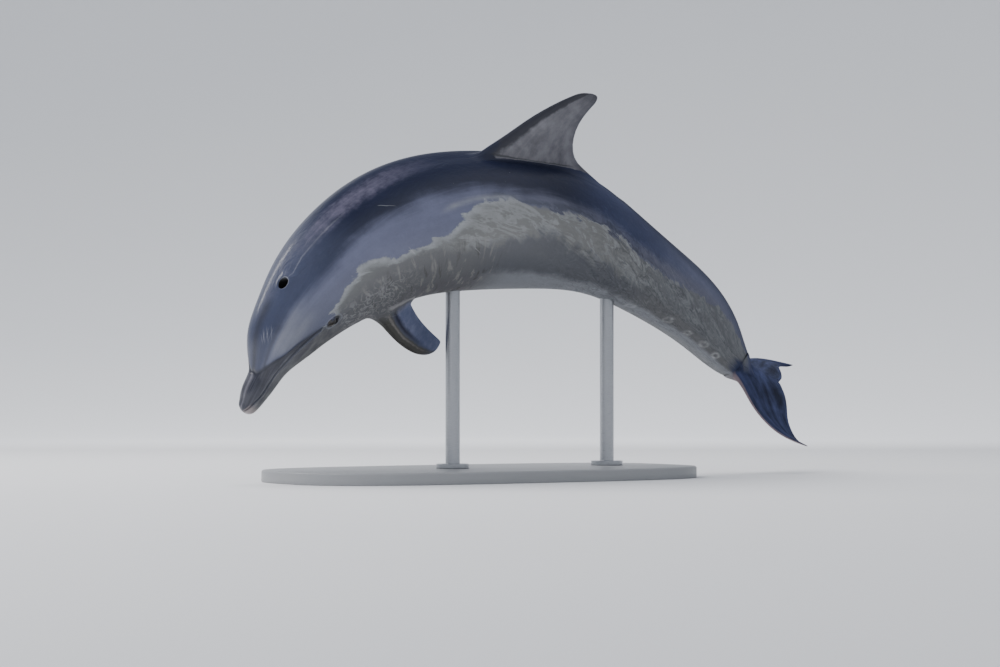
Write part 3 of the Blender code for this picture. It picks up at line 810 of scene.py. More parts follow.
class Finish:
    """A material: one Principled BSDF, with numbers set on it and wires led to it."""

    def __init__(self, name, **numbers):
        self.material = bpy.data.materials.new(name)
        self.material.use_nodes = True
        self.tree = self.material.node_tree
        self.shader = self.tree.nodes["Principled BSDF"]
        for label, value in numbers.items():
            self.shader.inputs[label.replace("_", " ").title().replace("Ior", "IOR")].default_value = value
        self.place = self.node("ShaderNodeTexCoord", {}, (), "Object")

    def node(self, kind, settings, inputs, output=0):
        """Adds a node and returns one of its outputs.

        Settings are its own properties.  Inputs are numbers, six-figure web colours or wires,
        given in order or by name.
        """
        made = self.tree.nodes.new(kind)
        for label, value in settings.items():
            setattr(made, label, value)
        given = inputs.items() if isinstance(inputs, dict) else enumerate(inputs)
        for label, value in given:
            if isinstance(value, Wire):
                self.tree.links.new(value.socket, made.inputs[label])
            else:
                made.inputs[label].default_value = colour(value) if isinstance(value, str) else value
        return Wire(self, made.outputs[output])

    def lead(self, label, wire):
        """Leads a wire to an input of the main shader."""
        self.tree.links.new(wire.socket, self.shader.inputs[label])

    def value(self, name):
        """A number stored on the mesh's vertices."""
        return self.node("ShaderNodeAttribute", {"attribute_name": name}, (), "Fac")

    def noise(self, scale, detail=3.0, rough=0.5, stretch=(1, 1, 1), shift=(0, 0, 0), warp=0.0, place=None):
        """Cloudy noise about 0, roughly -1 to 1, on the model's own coordinates or on place."""
        place = self.node("ShaderNodeMapping", {}, {0: place or self.place, 1: shift, 3: stretch})
        wire = self.node("ShaderNodeTexNoise", {}, {"Vector": place, "Scale": scale, "Detail": detail,
                                                     "Roughness": rough, "Distortion": warp})
        return (wire - 0.5) * 3.2

    def joined(self, x, y, z=0.0):
        """A place made of three wires or numbers."""
        return self.node("ShaderNodeCombineXYZ", {}, (x, y, z))

    def mix(self, share, a, b):
        """Colour a where share is 0, b where it is 1."""
        return self.node("ShaderNodeMix", {"data_type": "RGBA", "clamp_factor": True},
                         {0: share, 6: a, 7: b}, 2)

    def scaled(self, tint, factor):
        """A colour made lighter or darker by a number."""
        return self.node("ShaderNodeVectorMath", {"operation": "SCALE"}, {0: tint, 3: factor})

    def paint(self, share, tint):
        """Lays a colour over what is there, where share is above 0."""
        self.tint = self.mix(share, self.tint, tint)

    def shade(self, factor):
        """Makes what is there lighter or darker."""
        self.tint = self.scaled(self.tint, factor)

    def matte(self, share, tint):
        """Mixes in a plain matt shader, so that less of the room is mirrored."""
        matt = self.node("ShaderNodeBsdfDiffuse", {}, {"Color": tint})
        shiny = Wire(self, self.shader.outputs["BSDF"])
        both = self.node("ShaderNodeMixShader", {}, (share, shiny, matt))
        self.tree.links.new(both.socket, self.tree.nodes["Material Output"].inputs["Surface"])

    def relief(self, height, distance, strength=1.0):
        """Bump of a height wire, into the shader's normal."""
        bump = self.node("ShaderNodeBump", {},
                         {"Height": height, "Distance": distance, "Strength": strength}, "Normal")
        self.lead("Normal", bump)


def stroke(u, v, start, end, width):
    """1 on a straight scratch from start to end, places in metres on the unrolled skin."""
    du, dv = end[0] - start[0], end[1] - start[1]
    long = (du * du + dv * dv) ** 0.5
    along = ((u - start[0]) * du + (v - start[1]) * dv) / long
    across = ((u - start[0]) * dv - (v - start[1]) * du) / long
    past = abs(along - long / 2) - long / 2
    return (abs(across) / width).ramp(1.0, 0.0) * (past / (4 * width)).ramp(1.0, -1.0)


def skin_wires(f):
    """Places, noises and masks that the coats of the skin share, by name; each coat asks for its own."""
    along, low, side = f.value("along"), f.value("low"), f.value("side")
    u, v = along * LENGTH, low * UNROLLED
    across = v - u * 0.35
    unrolled = f.joined(u, v, side * 0.25)
    slant = f.joined(u + v * 0.35, across, side * 0.25)
    broad = f.noise(3.1, 4, 0.55)
    cloud = f.noise(9.0, 5, 0.6, warp=0.4)
    fine = f.noise(42.0, 4, 0.6)
    grain = f.noise(160.0, 3, 0.6)
    flame = f.noise(8.0, 5, 0.62, place=slant, stretch=(1.0, 3.0, 1.0), warp=0.6)
    upright = f.noise(17.0, 4, 0.6, place=unrolled, stretch=(2.0, 0.5, 1.0), warp=0.5)
    lengthwise = f.noise(16.0, 4, 0.6, place=unrolled, stretch=(0.35, 2.4, 1.0), shift=(2, 5, 0), warp=0.3)
    # fine wavy lines like the grain of wood, and longer threads
    bend = f.noise(7.5, 3, 0.55, place=slant, stretch=(1.0, 2.1, 1.0), shift=(7, 3, 1), warp=1.1)
    swirl = (bend * 15.0 + across * 60 + fine * 1.3).wave() * (0.8 + fine * 0.35)
    thread = (flame * 9.0 + across * 45 + fine * 1.1).wave() * (0.8 + fine * 0.35)
    patch = f.noise(8.0, 3, 0.6, shift=(1, 9, 4)).ramp(-0.9, 0.5)
    crackle = f.noise(26.0, 3, 0.55, shift=(2, 6, 1), warp=1.4).bump_at(0.0, 0.16)
    # fins, and the parts of the body that several coats share
    dorsal, flipper, fluke = f.value("dorsal"), f.value("flipper"), f.value("fluke")
    chord, upper, span = f.value("chord"), f.value("upper"), f.value("span")
    # painted reflection: streaks of gleam along the fins' chords, for the flippers and the flukes
    gleam = f.noise(14.0, 4, 0.6, place=f.joined(chord * 0.16, span * 0.9, upper * 0.05),
                    stretch=(2.6, 0.3, 1.0))
    skin_only = (1 - flipper) * (1 - fluke) * (1 - dorsal)
    dark_tail = (along + flame * 0.005 + cloud * 0.004 + low.ramp(30.0, 62.0) * 0.020
                 - (low - 85).most(0.0) * 0.0003).ramp(0.888, 0.910)
    tail_part = along.ramp(0.42, 0.60) * (1 - dark_tail) * skin_only
    tail_part = tail_part * (low + cloud * 4).ramp(26.0, 60.0, 0.25, 1.0)
    front_belly = f.value("wrinkled").ramp(0.4, 1.0)
    return dict(along=along, low=low, side=side, u=u, v=v, unrolled=unrolled, slant=slant, broad=broad,
                cloud=cloud, fine=fine, grain=grain, flame=flame, upright=upright, lengthwise=lengthwise,
                swirl=swirl, thread=thread, patch=patch, crackle=crackle, dorsal=dorsal, flipper=flipper,
                fluke=fluke, chord=chord, upper=upper, span=span, gleam=gleam, skin_only=skin_only,
                dark_tail=dark_tail, tail_part=tail_part, front_belly=front_belly)


def paint_bands(f, along, low, broad, cloud, fine, flame, upright, lengthwise, thread, **others):
    """Dark cape, violet-grey flank, ragged pale band and olive belly, from back to belly; the belly's grey
    is partly painted shade, and painted shade darkens the top of the back towards the tail.
    """
    # three plain colours that change from head to tail
    cape = f.mix(along.ramp(0.15, 0.25), "343a50", "191e31")
    cape = f.mix(along.ramp(0.46, 0.58), cape, "3f455e")
    cape = f.mix(along.ramp(0.60, 0.76), cape, "62667a")
    flank = f.mix(along.ramp(0.10, 0.18), "595e72", "60647a")
    flank = f.mix(along.ramp(0.36, 0.50), flank, "5f616f")
    # the belly's grey is partly painted shade: darker than the skin's own pale grey there
    belly = f.mix(along.ramp(0.10, 0.18), "62656c", "606163")
    belly = f.mix(along.ramp(0.34, 0.42) * along.ramp(0.70, 0.60), belly, "585a5f")
    lowest = f.mix(along.ramp(0.36, 0.44), "5c5c5f", "7d8085")
    belly = f.mix((low + cloud * 5 + fine * 2).ramp(112.0, 124.0), belly, lowest)
    belly = f.mix(low.ramp(132.0, 160.0) * 0.5, belly, "8a8b8c")
    upper_edge = f.value("cape") + cloud * 3.0 + lengthwise * 4.0 + broad * 2.0
    f.tint = f.mix(upper_edge.ramp(-9.0, 10.0), cape, flank)
    shoulder = low.ramp(50.0, 66.0) * along.ramp(0.24, 0.17) * 0.14
    # painted shade: the top of the back, from mid-body to the tail, darkened against the light from above
    ridge = low.ramp(20.0, 2.0) * along.ramp(0.44, 0.56) * 0.45
    f.shade((1 + lengthwise * 0.09 + cloud * 0.06 - shoulder) * (1 - ridge))
    # ragged pale band over them, with foam along its front upper edge
    edge = f.value("tide") + flame * 7.0 + fine * 3.0 + thread * 1.2 + broad * 4.0
    pale = f.mix(along.ramp(0.28, 0.40), "636565", "727372")
    pale = f.mix(along.ramp(0.50, 0.72), pale, "606265")
    pale = f.mix((thread * 0.8 + flame * 0.5).ramp(-0.5, 1.1) * along.ramp(0.26, 0.38) * 0.8, pale,
                 f.mix(along.ramp(0.50, 0.75), "8e9192", "74777a"))
    f.paint(edge.bump_at(-3.5, 3.5) * along.ramp(0.35, 0.42) * along.ramp(0.72, 0.60) * 0.55, "3a3e49")
    f.paint(edge.ramp(-1.5, 1.2), pale)
    f.paint(f.value("wisp") * (0.5 + flame * 0.5 + fine * 0.2), "8b8e92")
    surf = edge.ramp(-1.5, 0.8) * edge.ramp(9.0, 2.0) * along.ramp(0.44, 0.34)
    lower = f.value("belly") + flame * 9.0 + fine * 3.0 + upright * 4.0
    f.paint(lower.ramp(-7.0, 5.0), belly)
    f.paint(surf * (0.58 + fine * 0.30), "9b9fa2")


def paint_head(f, unrolled, cloud, fine, lengthwise, **others):
    """Dark upper beak, pale jaw and tip, dark stripes of the melon, pale cheek, and a painted highlight
    along the ridge of the upper lip.
    """
    beak = f.value("beak")
    streaks = f.noise(20.0, 3, 0.6, place=unrolled, stretch=(0.6, 2.4, 1.0), shift=(4, 1, 0))
    f.paint(beak, f.mix(streaks.ramp(-0.6, 0.9), "22232d", "3d3f4a"))
    jaw = f.mix((fine + lengthwise * 0.8).ramp(-1, 1), "4e4e52", "6b6b6c")
    f.paint(f.value("jaw") * (0.88 + cloud * 0.12), jaw)
    f.paint(f.value("cheek") * (0.62 + cloud * 0.25 + lengthwise * 0.25), "757883")
    f.paint(f.value("stripe") * (0.85 + lengthwise * 0.15), "252836")
    f.paint(f.value("tip") * (0.9 + fine * 0.2), "8f8685")
    f.paint(f.value("beak_back") * (0.40 + fine * 0.25), "8b8a93")
    # painted highlight along the bulging ridge of the upper lip
    f.paint(f.value("lip_edge") * (0.55 + fine * 0.3), "6f7078")


def paint_dorsal_fin(f, cloud, fine, grain, flame, dorsal, chord, span, **others):
    """Clouded grey, darker along the leading edge and at the tip, with a ragged dark line at its foot."""
    lead = (chord - span * 0.36 + fine * 0.03 + cloud * 0.03).ramp(0.08, -0.02)
    fin = f.mix((cloud + flame * 0.6 + fine * 0.5).ramp(-1.1, 1.1), "4e4e55", "74747a")
    fin = f.mix(lead, fin, "23242e")
    fin = f.mix(span.ramp(0.55, 1.0) * 0.45, fin, "34353c")
    foot = dorsal + fine * 0.06 + flame * 0.04 - chord.ramp(0.16, 0.0) * span.ramp(0.42, 0.26) * 0.35
    f.paint(foot.ramp(0.76, 0.84), fin)
    ragged = (span + fine * 0.012 + grain * 0.006).bump_at(0.210, 0.022)
    ragged = ragged * chord.ramp(0.95, 0.75) * chord.ramp(0.04, 0.1)
    f.paint(dorsal * ragged * (fine + flame).ramp(-1.1, 0.0) * 0.85, "1d1f25")


def paint_flippers(f, cloud, fine, flipper, chord, upper, span, gleam, **others):
    """Blue-grey above, the blue partly painted sky reflection, and grey below; brown, pale and dark stripes
    along the leading edge; painted highlights streaked on the blade and round the root.
    """
    # the blue-grey of the upper face is partly a painted reflection of the sky
    blade = f.mix((cloud + fine * 0.5).ramp(-0.8, 0.9), "58607c", "757a92")
    blade = f.mix((upper + cloud * 0.1).ramp(-0.3, 0.1), "5e5e60", blade)
    front = chord + fine * 0.035 + cloud * 0.03
    blade = f.mix(front.ramp(0.44, 0.26) * span.ramp(0.95, 0.60, 0.4, 1.0), blade, "4f4e4b")
    blade = f.mix(front.bump_at(0.42, 0.13) * span.ramp(0.70, 0.35) * 0.85, blade, "1c1c26")
    blade = f.mix(front.bump_at(0.24, 0.06) * span.ramp(0.90, 0.40) * (0.45 + fine * 0.4), blade, "8f8c88")
    # painted highlight: pale gleaming streaks out on the blade
    blade = f.mix((fine + gleam).ramp(0.5, 1.4) * span.ramp(0.55, 0.80) * front.ramp(0.5, 0.3) * 0.5, blade,
                  "9b9ca6")
    blade = f.mix(front.bump_at(0.06, 0.06) * 0.5, blade, "2c2b2d")
    f.paint((flipper + fine * 0.10 + cloud * 0.06).ramp(0.45, 0.85), blade)
    # painted highlight: a pale band round the flipper's root
    f.paint((flipper + fine * 0.06).bump_at(0.42, 0.12) * chord.ramp(0.2, 0.4) * 0.6, "a3a2a3")


def paint_flukes(f, along, low, cloud, fluke, chord, upper, span, gleam, dark_tail, **others):
    """Navy with painted gleams of reflected light above, strongest by the root, and with the end of the
    tail; flesh-grey below and at the rims.
    """
    under = (fluke * upper.ramp(0.05, -0.25)).most((1 - fluke) * low.ramp(105.0, 135.0))
    # painted reflection: lighter where the flukes' upper face meets the tail's end
    wet = along.ramp(0.892, 0.908) * low.ramp(58.0, 25.0) * (1 - span.ramp(0.1, 0.4)) * 0.9
    navy = f.mix((gleam + cloud * 0.4 + wet).ramp(-1.1, 1.6), "181b27", "4b5478")
    f.paint(dark_tail.most(fluke) * (1 - under), navy)
    f.paint((fluke * under).most(fluke * chord.ramp(0.030, 0.006) * span.ramp(0.98, 0.70) * 0.75), "86777a")


def paint_mottling(f, along, low, cloud, fine, grain, flame, upright, lengthwise, swirl, patch,
                   crackle, skin_only, tail_part, front_belly, **others):
    """Fine swirls and blotches of the tail, ring scars, painted highlight and shade on the belly's
    wrinkles, crackle of the throat, painted sheen along the back.
    """
    f.shade(1 + cloud * 0.04 + fine * (0.05 + tail_part * 0.05) + grain * 0.05)
    f.shade(1 + swirl * patch * tail_part * 0.13)
    f.paint(swirl.ramp(0.65, 1.1) * patch * tail_part * 0.16, "9a9c9d")
    f.paint(flame.bump_at(-0.10, 0.10) * tail_part * 0.35, "34373e")
    blotch = f.noise(17.0, 3, 0.65, shift=(3.1, 0.7, 1.9)).ramp(0.55, 0.95) * fine.ramp(-0.5, 0.6)
    f.paint(blotch * tail_part * low.ramp(75.0, 100.0) * 0.5, "a2a3a4")
    f.paint(f.value("rings") * (0.55 + fine * 0.7 + cloud * 0.3), "a0a2a4")
    # painted highlight on the ridges of the belly's wrinkles and painted shade in their troughs; the bump
    # follows the same noise
    f.paint(upright.bump_at(0.45, 0.28) * front_belly * 0.50, "8d8c88")
    f.paint(upright.bump_at(-0.55, 0.35) * front_belly * 0.45, "3a3834")
    throat = low.ramp(80.0, 100.0) * along.ramp(0.13, 0.16) * along.ramp(0.30, 0.22) * skin_only
    f.paint(crackle * throat * 0.50, "9a9b9d")
    f.paint((fine + cloud * 0.6).ramp(0.2, 1.0) * throat * 0.35, "35342f")
    # painted sheen: a pale lilac highlight along the top of the back behind the head
    painted_sheen = (low - fine * 3).ramp(16.0, 3.0) * along.ramp(0.165, 0.215) * along.ramp(0.36, 0.25) * skin_only
    f.paint(painted_sheen * (0.40 + fine * 0.30 + lengthwise * 0.30), "625f72")
    speck = f.noise(120.0, 2, 0.5, shift=(0.4, 2.2, 5.0)).ramp(0.80, 1.1)
    f.paint(speck * skin_only * 0.25, "aab0b6")


def paint_scratches(f, side, u, v, cloud, fine, **others):
    """Pale straight scratches on the left side."""
    for start, end, width, share in SCRATCHES:
        mark = stroke(u + fine * 0.0020, v + cloud * 0.004, start, end, width) * side.ramp(-0.2, 0.1) * (
            0.65 + fine * 0.55)
        f.paint(mark * share, "b9bcc0")


def paint_rims_and_fold_shade(f, **others):
    """Dark eye rims, and painted shade inside the blowhole and in the lips' line, the melon's crease and
    the ear slit.
    """
    socket = f.value("socket")
    f.paint(socket.bump_at(0.35, 0.35) * 0.45, "888c97")
    f.paint(socket.ramp(0.7, 1.0) * 0.8, "1b1c22")
    # painted shade: the inside of the blowhole near black
    f.paint(socket.ramp(1.0, 2.0), "070709")
    f.paint(f.value("pale_lip") * 0.8, "9a9da6")
    # painted shade in the mouth line, the crease between melon and beak and the ear slit
    f.paint(f.value("lips") * 0.62, "23242b")


def lay_gloss(f, along, low, slant, cloud, fine, grain, upright, swirl, dorsal, flipper, tail_part,
              front_belly, **others):
    """A wet coat that is duller on the tail, belly and back, and fine relief under it."""
    hole = f.value("socket").ramp(1.0, 2.0)
    dry = along.ramp(0.40, 0.55) * (1 - flipper)
    f.lead("Roughness", 0.40 + dry * 0.10 + cloud * 0.04 + fine * 0.03 + tail_part * 0.08 + hole * 0.4)
    f.lead("Coat Weight", (0.50 - dry * 0.38) * low.ramp(100.0, 75.0, 0.1, 1.0) * (1 - hole))
    back = low.ramp(34.0, 14.0) * along.ramp(0.17, 0.24) * (1 - dorsal)
    f.matte((dry * 0.75).most((low + fine * 3).ramp(85.0, 120.0) * 0.85).most(back * 0.75), f.tint)
    back_ripple = f.noise(30.0, 3, 0.55, place=slant, stretch=(1.0, 0.6, 1.0), shift=(5, 1, 2), warp=0.7)
    height = upright * front_belly * 0.8 + cloud * 0.28 + fine * 0.12 + grain * 0.035
    height = height + back_ripple * low.ramp(48.0, 25.0) * along.ramp(0.12, 0.17) * 0.35
    f.relief(height + swirl * tail_part * 0.12, 0.0026)


def skin_finish():
    """Wet skin, painted coat over coat from the plain bands to the painted shade in the folds."""
    f = Finish("skin_wet", coat_weight=0.5, coat_roughness=0.18, coat_ior=1.36, specular_ior_level=0.4)
    wires = skin_wires(f)
    for coat in (paint_bands, paint_head, paint_dorsal_fin, paint_flippers, paint_flukes, paint_mottling,
                 paint_scratches, paint_rims_and_fold_shade):
        coat(f, **wires)
    f.lead("Base Color", f.tint)
    lay_gloss(f, **wires)
    return f.material


def eye_finish():
    """Dark wet eye: brown iris with a wide dark pupil, blackish white at the corners."""
    f = Finish("eye_wet", coat_weight=0.6, coat_roughness=0.03, roughness=0.20, specular_ior_level=0.3)
    out, turned = f.value("out"), f.value("turned")
    fibre = f.node("ShaderNodeTexNoise", {"noise_dimensions": "2D"}, {
        "Vector": f.node("ShaderNodeCombineXYZ", {}, (turned * 9.0, out * 2.5, 0.0)),
        "Scale": 2.0, "Detail": 4.0})
    iris = f.mix(fibre.ramp(0.35, 0.65), "120e0c", "241a13")
    iris = f.mix(out.ramp(0.55, 0.66), iris, "100d0c")
    tint = f.mix(out.ramp(0.44, 0.36), iris, "050506")
    tint = f.mix(out.ramp(0.70, 0.78), tint, "2a2322")
    f.lead("Base Color", tint)
    f.relief(fibre * out.ramp(0.38, 0.5), 0.0004, 0.5)
    return f.material


def plate_finish():
    """Satin paint, pale warm grey, with a faint orange-peel texture, a little lighter along the rounded
    edge.
    """
    f = Finish("stand_paint", coat_weight=0.25, coat_roughness=0.25)
    peel, cloud = f.noise(420.0, 2, 0.5), f.noise(4.0, 4, 0.5)
    f.lead("Base Color", f.scaled(f.mix(f.value("rim") * 0.5, "8a8c8e", "a0a2a3"), 1 + cloud * 0.03))
    f.lead("Roughness", 0.46 + cloud * 0.04)
    f.relief(peel, 0.0002, 0.5)
    return f.material


def rod_finish():
    """Brushed steel: fine lines round each rod."""
    f = Finish("stand_steel", metallic=1.0)
    brushed = f.noise(60.0, 4, 0.7, stretch=(1, 1, 40))
    cloud = f.noise(12.0, 3, 0.5)
    f.lead("Base Color", f.scaled(f.mix(brushed.ramp(-1, 1), "a9acb0", "c9cbce"), 1 + cloud * 0.04))
    f.lead("Roughness", 0.30 + brushed * 0.05 + cloud * 0.02)
    f.relief(brushed, 0.00015, 0.6)
    return f.material


def floor_finish():
    """Plain light grey paper, very faintly clouded."""
    f = Finish("studio_floor", roughness=0.8, specular_ior_level=0.2)
    f.lead("Base Color", f.scaled(colour("dcdedf")[:3], 1 + f.noise(0.6, 3, 0.5) * 0.01))
    return f.material


# ------------------------------------------------------------ markings that follow the body's form
# station and angle from the middle of the back, in degrees, of the lower edge of the dark cape,
# the upper edge of the pale band, and the band's lower edge
CAPE_EDGE = ((0.0, 30), (0.09, 32), (0.12, 36), (0.15, 44), (0.20, 41), (0.26, 39), (0.33, 39), (0.40, 43),
             (0.47, 48), (0.54, 50), (0.60, 50), (0.66, 42), (0.74, 26), (0.82, 16), (0.90, 14), (1, 14))
TIDE_EDGE = ((0.0, 100), (0.09, 100), (0.13, 88), (0.16, 76), (0.185, 67), (0.21, 63), (0.235, 69),
             (0.26, 73), (0.30, 74), (0.335, 70), (0.355, 62), (0.38, 54), (0.41, 54), (0.45, 57),
             (0.52, 58), (0.60, 60), (0.68, 57), (0.74, 42), (0.80, 24), (0.86, 16), (1, 16))
BELLY_EDGE = ((0.0, 112), (0.09, 112), (0.13, 98), (0.18, 84), (0.22, 78), (0.27, 81), (0.32, 87),
              (0.38, 93), (0.45, 80), (0.52, 85), (0.63, 92), (0.70, 88), (0.80, 90), (1, 92))
# thin pale wisp over the pale band's front end
WISP = ((0.30, 58), (0.335, 52), (0.36, 50), (0.38, 50), (0.42, 52))
UNROLLED = 0.0035     # metres of skin for one degree round the body
# start, end (metres along, metres round), half width, strength
SCRATCHES = (
    ((0.236, 0.060), (0.214, 0.086), 0.0048, 0.34),
    ((0.242, 0.082), (0.224, 0.100), 0.0044, 0.30),
    ((0.228, 0.044), (0.206, 0.070), 0.0048, 0.32),
    ((0.213, 0.044), (0.203, 0.056), 0.0042, 0.26),
    ((0.237, 0.069), (0.214, 0.076), 0.0036, 0.24),
    ((0.228, 0.053), (0.208, 0.060), 0.0034, 0.22),
    ((0.240, 0.090), (0.216, 0.092), 0.0034, 0.22),
    ((0.385, 0.040), (0.430, 0.029), 0.0052, 0.24),
    ((0.430, 0.029), (0.570, 0.028), 0.0070, 0.14),
    ((0.658, 0.084), (0.693, 0.112), 0.0015, 0.42),
    ((0.904, 0.315), (0.926, 0.336), 0.0022, 0.45),
    ((0.675, 0.245), (0.688, 0.273), 0.0022, 0.40),
    ((1.510, 0.240), (1.640, 0.330), 0.0012, 0.30),
    ((1.700, 0.150), (1.790, 0.210), 0.0012, 0.30))
# old round scars low on the left of the tail: station, degrees from the back, radius in metres
SCARS = ((0.740, 110, 0.020), (0.788, 108, 0.014), (0.824, 103, 0.017), (0.852, 104, 0.015),
         (0.668, 126, 0.020))


def markings(skin):
    """Values worked out on the vertices: edges of the bands, head stripes, painted shade of the lips and
    creases, a painted highlight on the upper lip, wrinkles.
    """
    v = skin.values
    t, low = v["along"], v["low"]
    on_body = (1 - v["dorsal"]) * (1 - v["flipper"]) * (1 - v["fluke"])
    v["cape"] = low - curve(CAPE_EDGE, t)
    v["tide"] = low - curve(TIDE_EDGE, t)
    v["belly"] = low - curve(BELLY_EDGE, t)
    v["wisp"] = on_body * bell(low - curve(WISP, t), 2.2) * between(t, 0.318, 0.340, 0.40, 0.43)
    gap = crease_gap(t, low)
    head = smoothstep(0.046, 0.052, t)
    midline = bell(low, 7.0) * head * (1 - smoothstep(0.112, 0.132, t))
    second = 0.65 * bell(low - 33, 4.0) * between(t, 0.054, 0.060, 0.098, 0.112)
    to_eye = bell(gap, 0.008 + 0.009 * smoothstep(60, 80, low)) * (1 - smoothstep(92, 97, low))
    v["stripe"] = np.clip(midline + second + 0.85 * to_eye, 0, 1) * on_body
    v["cheek"] = on_body * between(low, 35, 42, 62, 82) * between(t, 0.060, 0.085, 0.106, 0.145)
    v["cheek"] *= smoothstep(0.010, 0.024, gap)
    degree = np.radians(1) * body_radius(t, 0.0)     # metres for one degree round the body
    v["rings"] = np.zeros(len(t))
    for station, place, size in SCARS:
        away = np.hypot((t - station) * LENGTH, (low - place) * degree) / size
        ring = (bell(away - 0.75, 0.30) - 0.6 * bell(away, 0.35)) * (v["side"] > 0)
        v["rings"] = np.maximum(v["rings"], ring)
    v["rings"] = np.clip(v["rings"], 0, 1) * on_body
    lip = 90 - curve(MOUTH, np.minimum(t, GAPE_AT))
    closed = 1 - smoothstep(GAPE_AT - 0.002, GAPE_AT + 0.008, t)
    # painted shade: a dark line in the mouth, the melon's crease and the ear slit, stored as lips
    v["lips"] = bell((low - lip) * degree, 0.0034) * closed * on_body
    crease = bell(gap, 0.0075) * (1 - smoothstep(58, 72, low)) * on_body
    ear = np.hypot((t - EAR_AT) * LENGTH * EAR_SQUEEZE, (low - 90 - abs(EAR_ANGLE)) * degree)
    v["lips"] = np.maximum(v["lips"], np.maximum(0.75 * crease, 0.7 * bell(ear, 0.003)))
    v["jaw"] = smoothstep(lip + 0.5, lip + 4, low) * (1 - smoothstep(0.12, 0.17, t)) * on_body
    v["beak"] = (1 - smoothstep(lip - 3, lip, low)) * (1 - smoothstep(-0.002, 0.006, gap)) * on_body
    v["tip"] = smoothstep(lip - 14, lip - 2, low) * (1 - smoothstep(0.008, 0.016, t)) * 0.9 * on_body
    v["beak_back"] = (1 - smoothstep(-2, 13, low)) * (1 - smoothstep(-0.012, -0.002, gap)) * on_body
    # painted highlight: a pale line along the ridge of the upper lip, a little above the mouth line
    v["lip_edge"] = bell(low - lip + 5, 3.0) * between(t, 0.010, 0.030, 0.070, 0.095) * on_body
    v["wrinkled"] = on_body * smoothstep(66, 92, low) * between(t, 0.16, 0.20, 0.34, 0.50)


# ------------------------------------------------------------ the skin
EYE_LONG = 0.0160     # half length of the eye opening
EYE_HIGH = 0.0078
EYE_BALL = 0.0200     # the visible ball's radius
EYE_BALL_SUNK = 0.0160
EYE_TURNS = 72        # points round the ball

skin = Skin()
for name, first, flare in (("dorsal_fin", 0.22, 0.020), ("flipper_left", 0.27, 0.022),
                           ("flipper_right", 0.27, 0.022), ("fluke_left", 0.20, 0.012),
                           ("fluke_right", 0.20, 0.012)):
    grow_fin(skin, name, first, flare)
for side in (1, -1):
    shape_eye(skin, side)
shape_blowhole(skin)
skin.close()
skin.smooth(6)
markings(skin)

faces = [list(face) for part in skin.faces for face in part.tolist()]
dolphin = new_piece("dolphin_skin", skin.points, faces, skin_finish(), (
    "head", "lower_jaw", "thorax", "trunk", "abdomen", "tail_stock", "dorsal_fin",
    "flipper_left", "flipper_right", "fluke_left", "fluke_right"))
for name, numbers in skin.values.items():
    store(dolphin, name, numbers)


# ------------------------------------------------------------ eyes
def lathe(profile, turns, centre, axes):
    """Rings of (radius, height) pairs about the third of axes, closed by fans at both ends.

    A point is centre + radius * (cos, sin) on the first two axes + height on the third.
    """
    out, height = profile[:, :1], profile[:, 1:]
    w = np.linspace(0, 2 * np.pi, turns, endpoint=False)
    rings = np.stack(np.broadcast_arrays(out * np.cos(w), out * np.sin(w), height), -1)
    ends = np.array([[0, 0, height[0, 0]], [0, 0, height[-1, 0]]])
    return closed_rings(centre + rings @ axes.T, centre + ends @ axes.T)


def dress_eye(name, side):
    """The visible ball behind the lids: an arc turned about the eye's own outward axis.

    The arc's radius is the ball's, plus a low step over the front for the cornea.
    """
    angle = mirrored(np.radians(EYE_ANGLE), side)
    forward, left, up = body_frame(EYE_AT).T
    out = np.cos(angle) * left + np.sin(angle) * up
    across = np.cross(out, forward)
    centre = body_point(EYE_AT, angle, -EYE_BALL_SUNK)
    lean = np.linspace(np.radians(92), np.radians(0.6), 40)
    cornea = 0.0009 * smoothstep(0.60, 0.20, np.sin(lean)) * (np.cos(lean) > 0)
    profile = np.stack(((EYE_BALL + cornea) * np.sin(lean), (EYE_BALL + cornea) * np.cos(lean)), -1)
    points, faces = lathe(profile, EYE_TURNS, centre, np.stack((forward, across, out), 1))
    ball = new_piece(name + "_ball", points, faces, eye_finish(), (name,))
    store(ball, "out", np.concatenate((np.repeat(np.sin(lean), EYE_TURNS), [1.0, 0.0])))
    spin = np.linspace(0, 2 * np.pi, EYE_TURNS, endpoint=False)
    store(ball, "turned", np.concatenate((np.tile(spin, len(lean)), [0.0, 0.0])))


for name, side in (("eye_left", 1), ("eye_right", -1)):
    dress_eye(name, side)


# ------------------------------------------------------------ stand
def rounded(corners, radius, steps=6):
    """A profile of (radius, height) pairs with its inner corners rounded."""
    corners = np.asarray(corners, float)
    out = [corners[0]]
    for before, corner, after in zip(corners[:-2], corners[1:-1], corners[2:]):
        a = corner + (before - corner) / np.linalg.norm(before - corner) * radius
        b = corner + (after - corner) / np.linalg.norm(after - corner) * radius
        s = np.linspace(0, 1, steps)[:, None]
        out.extend((1 - s) ** 2 * a + 2 * s * (1 - s) * corner + s**2 * b)
    out.append(corners[-1])
    return np.array(out)


PLATE_POWER = 0.62    # 1 would make the plate an ellipse, 0 a rectangle


def plate_rows():
    """Inset and height of the plate's rings, from the middle of its underside to that of its top."""
    rows = [(0.60, 0.0), (0.05, 0.0), (0.003, 0.0), (0.0008, 0.0006), (0.0, 0.0025),
            (0.0, BASE_THICK / 2), (0.0, BASE_THICK - BASE_BEVEL)]
    for k in np.linspace(0, np.pi / 2, 9)[1:]:
        rows.append((BASE_BEVEL * (1 - np.cos(k)), BASE_THICK - BASE_BEVEL * (1 - np.sin(k))))
    return np.array(rows + [(0.02, BASE_THICK), (0.12, BASE_THICK), (0.30, BASE_THICK)])


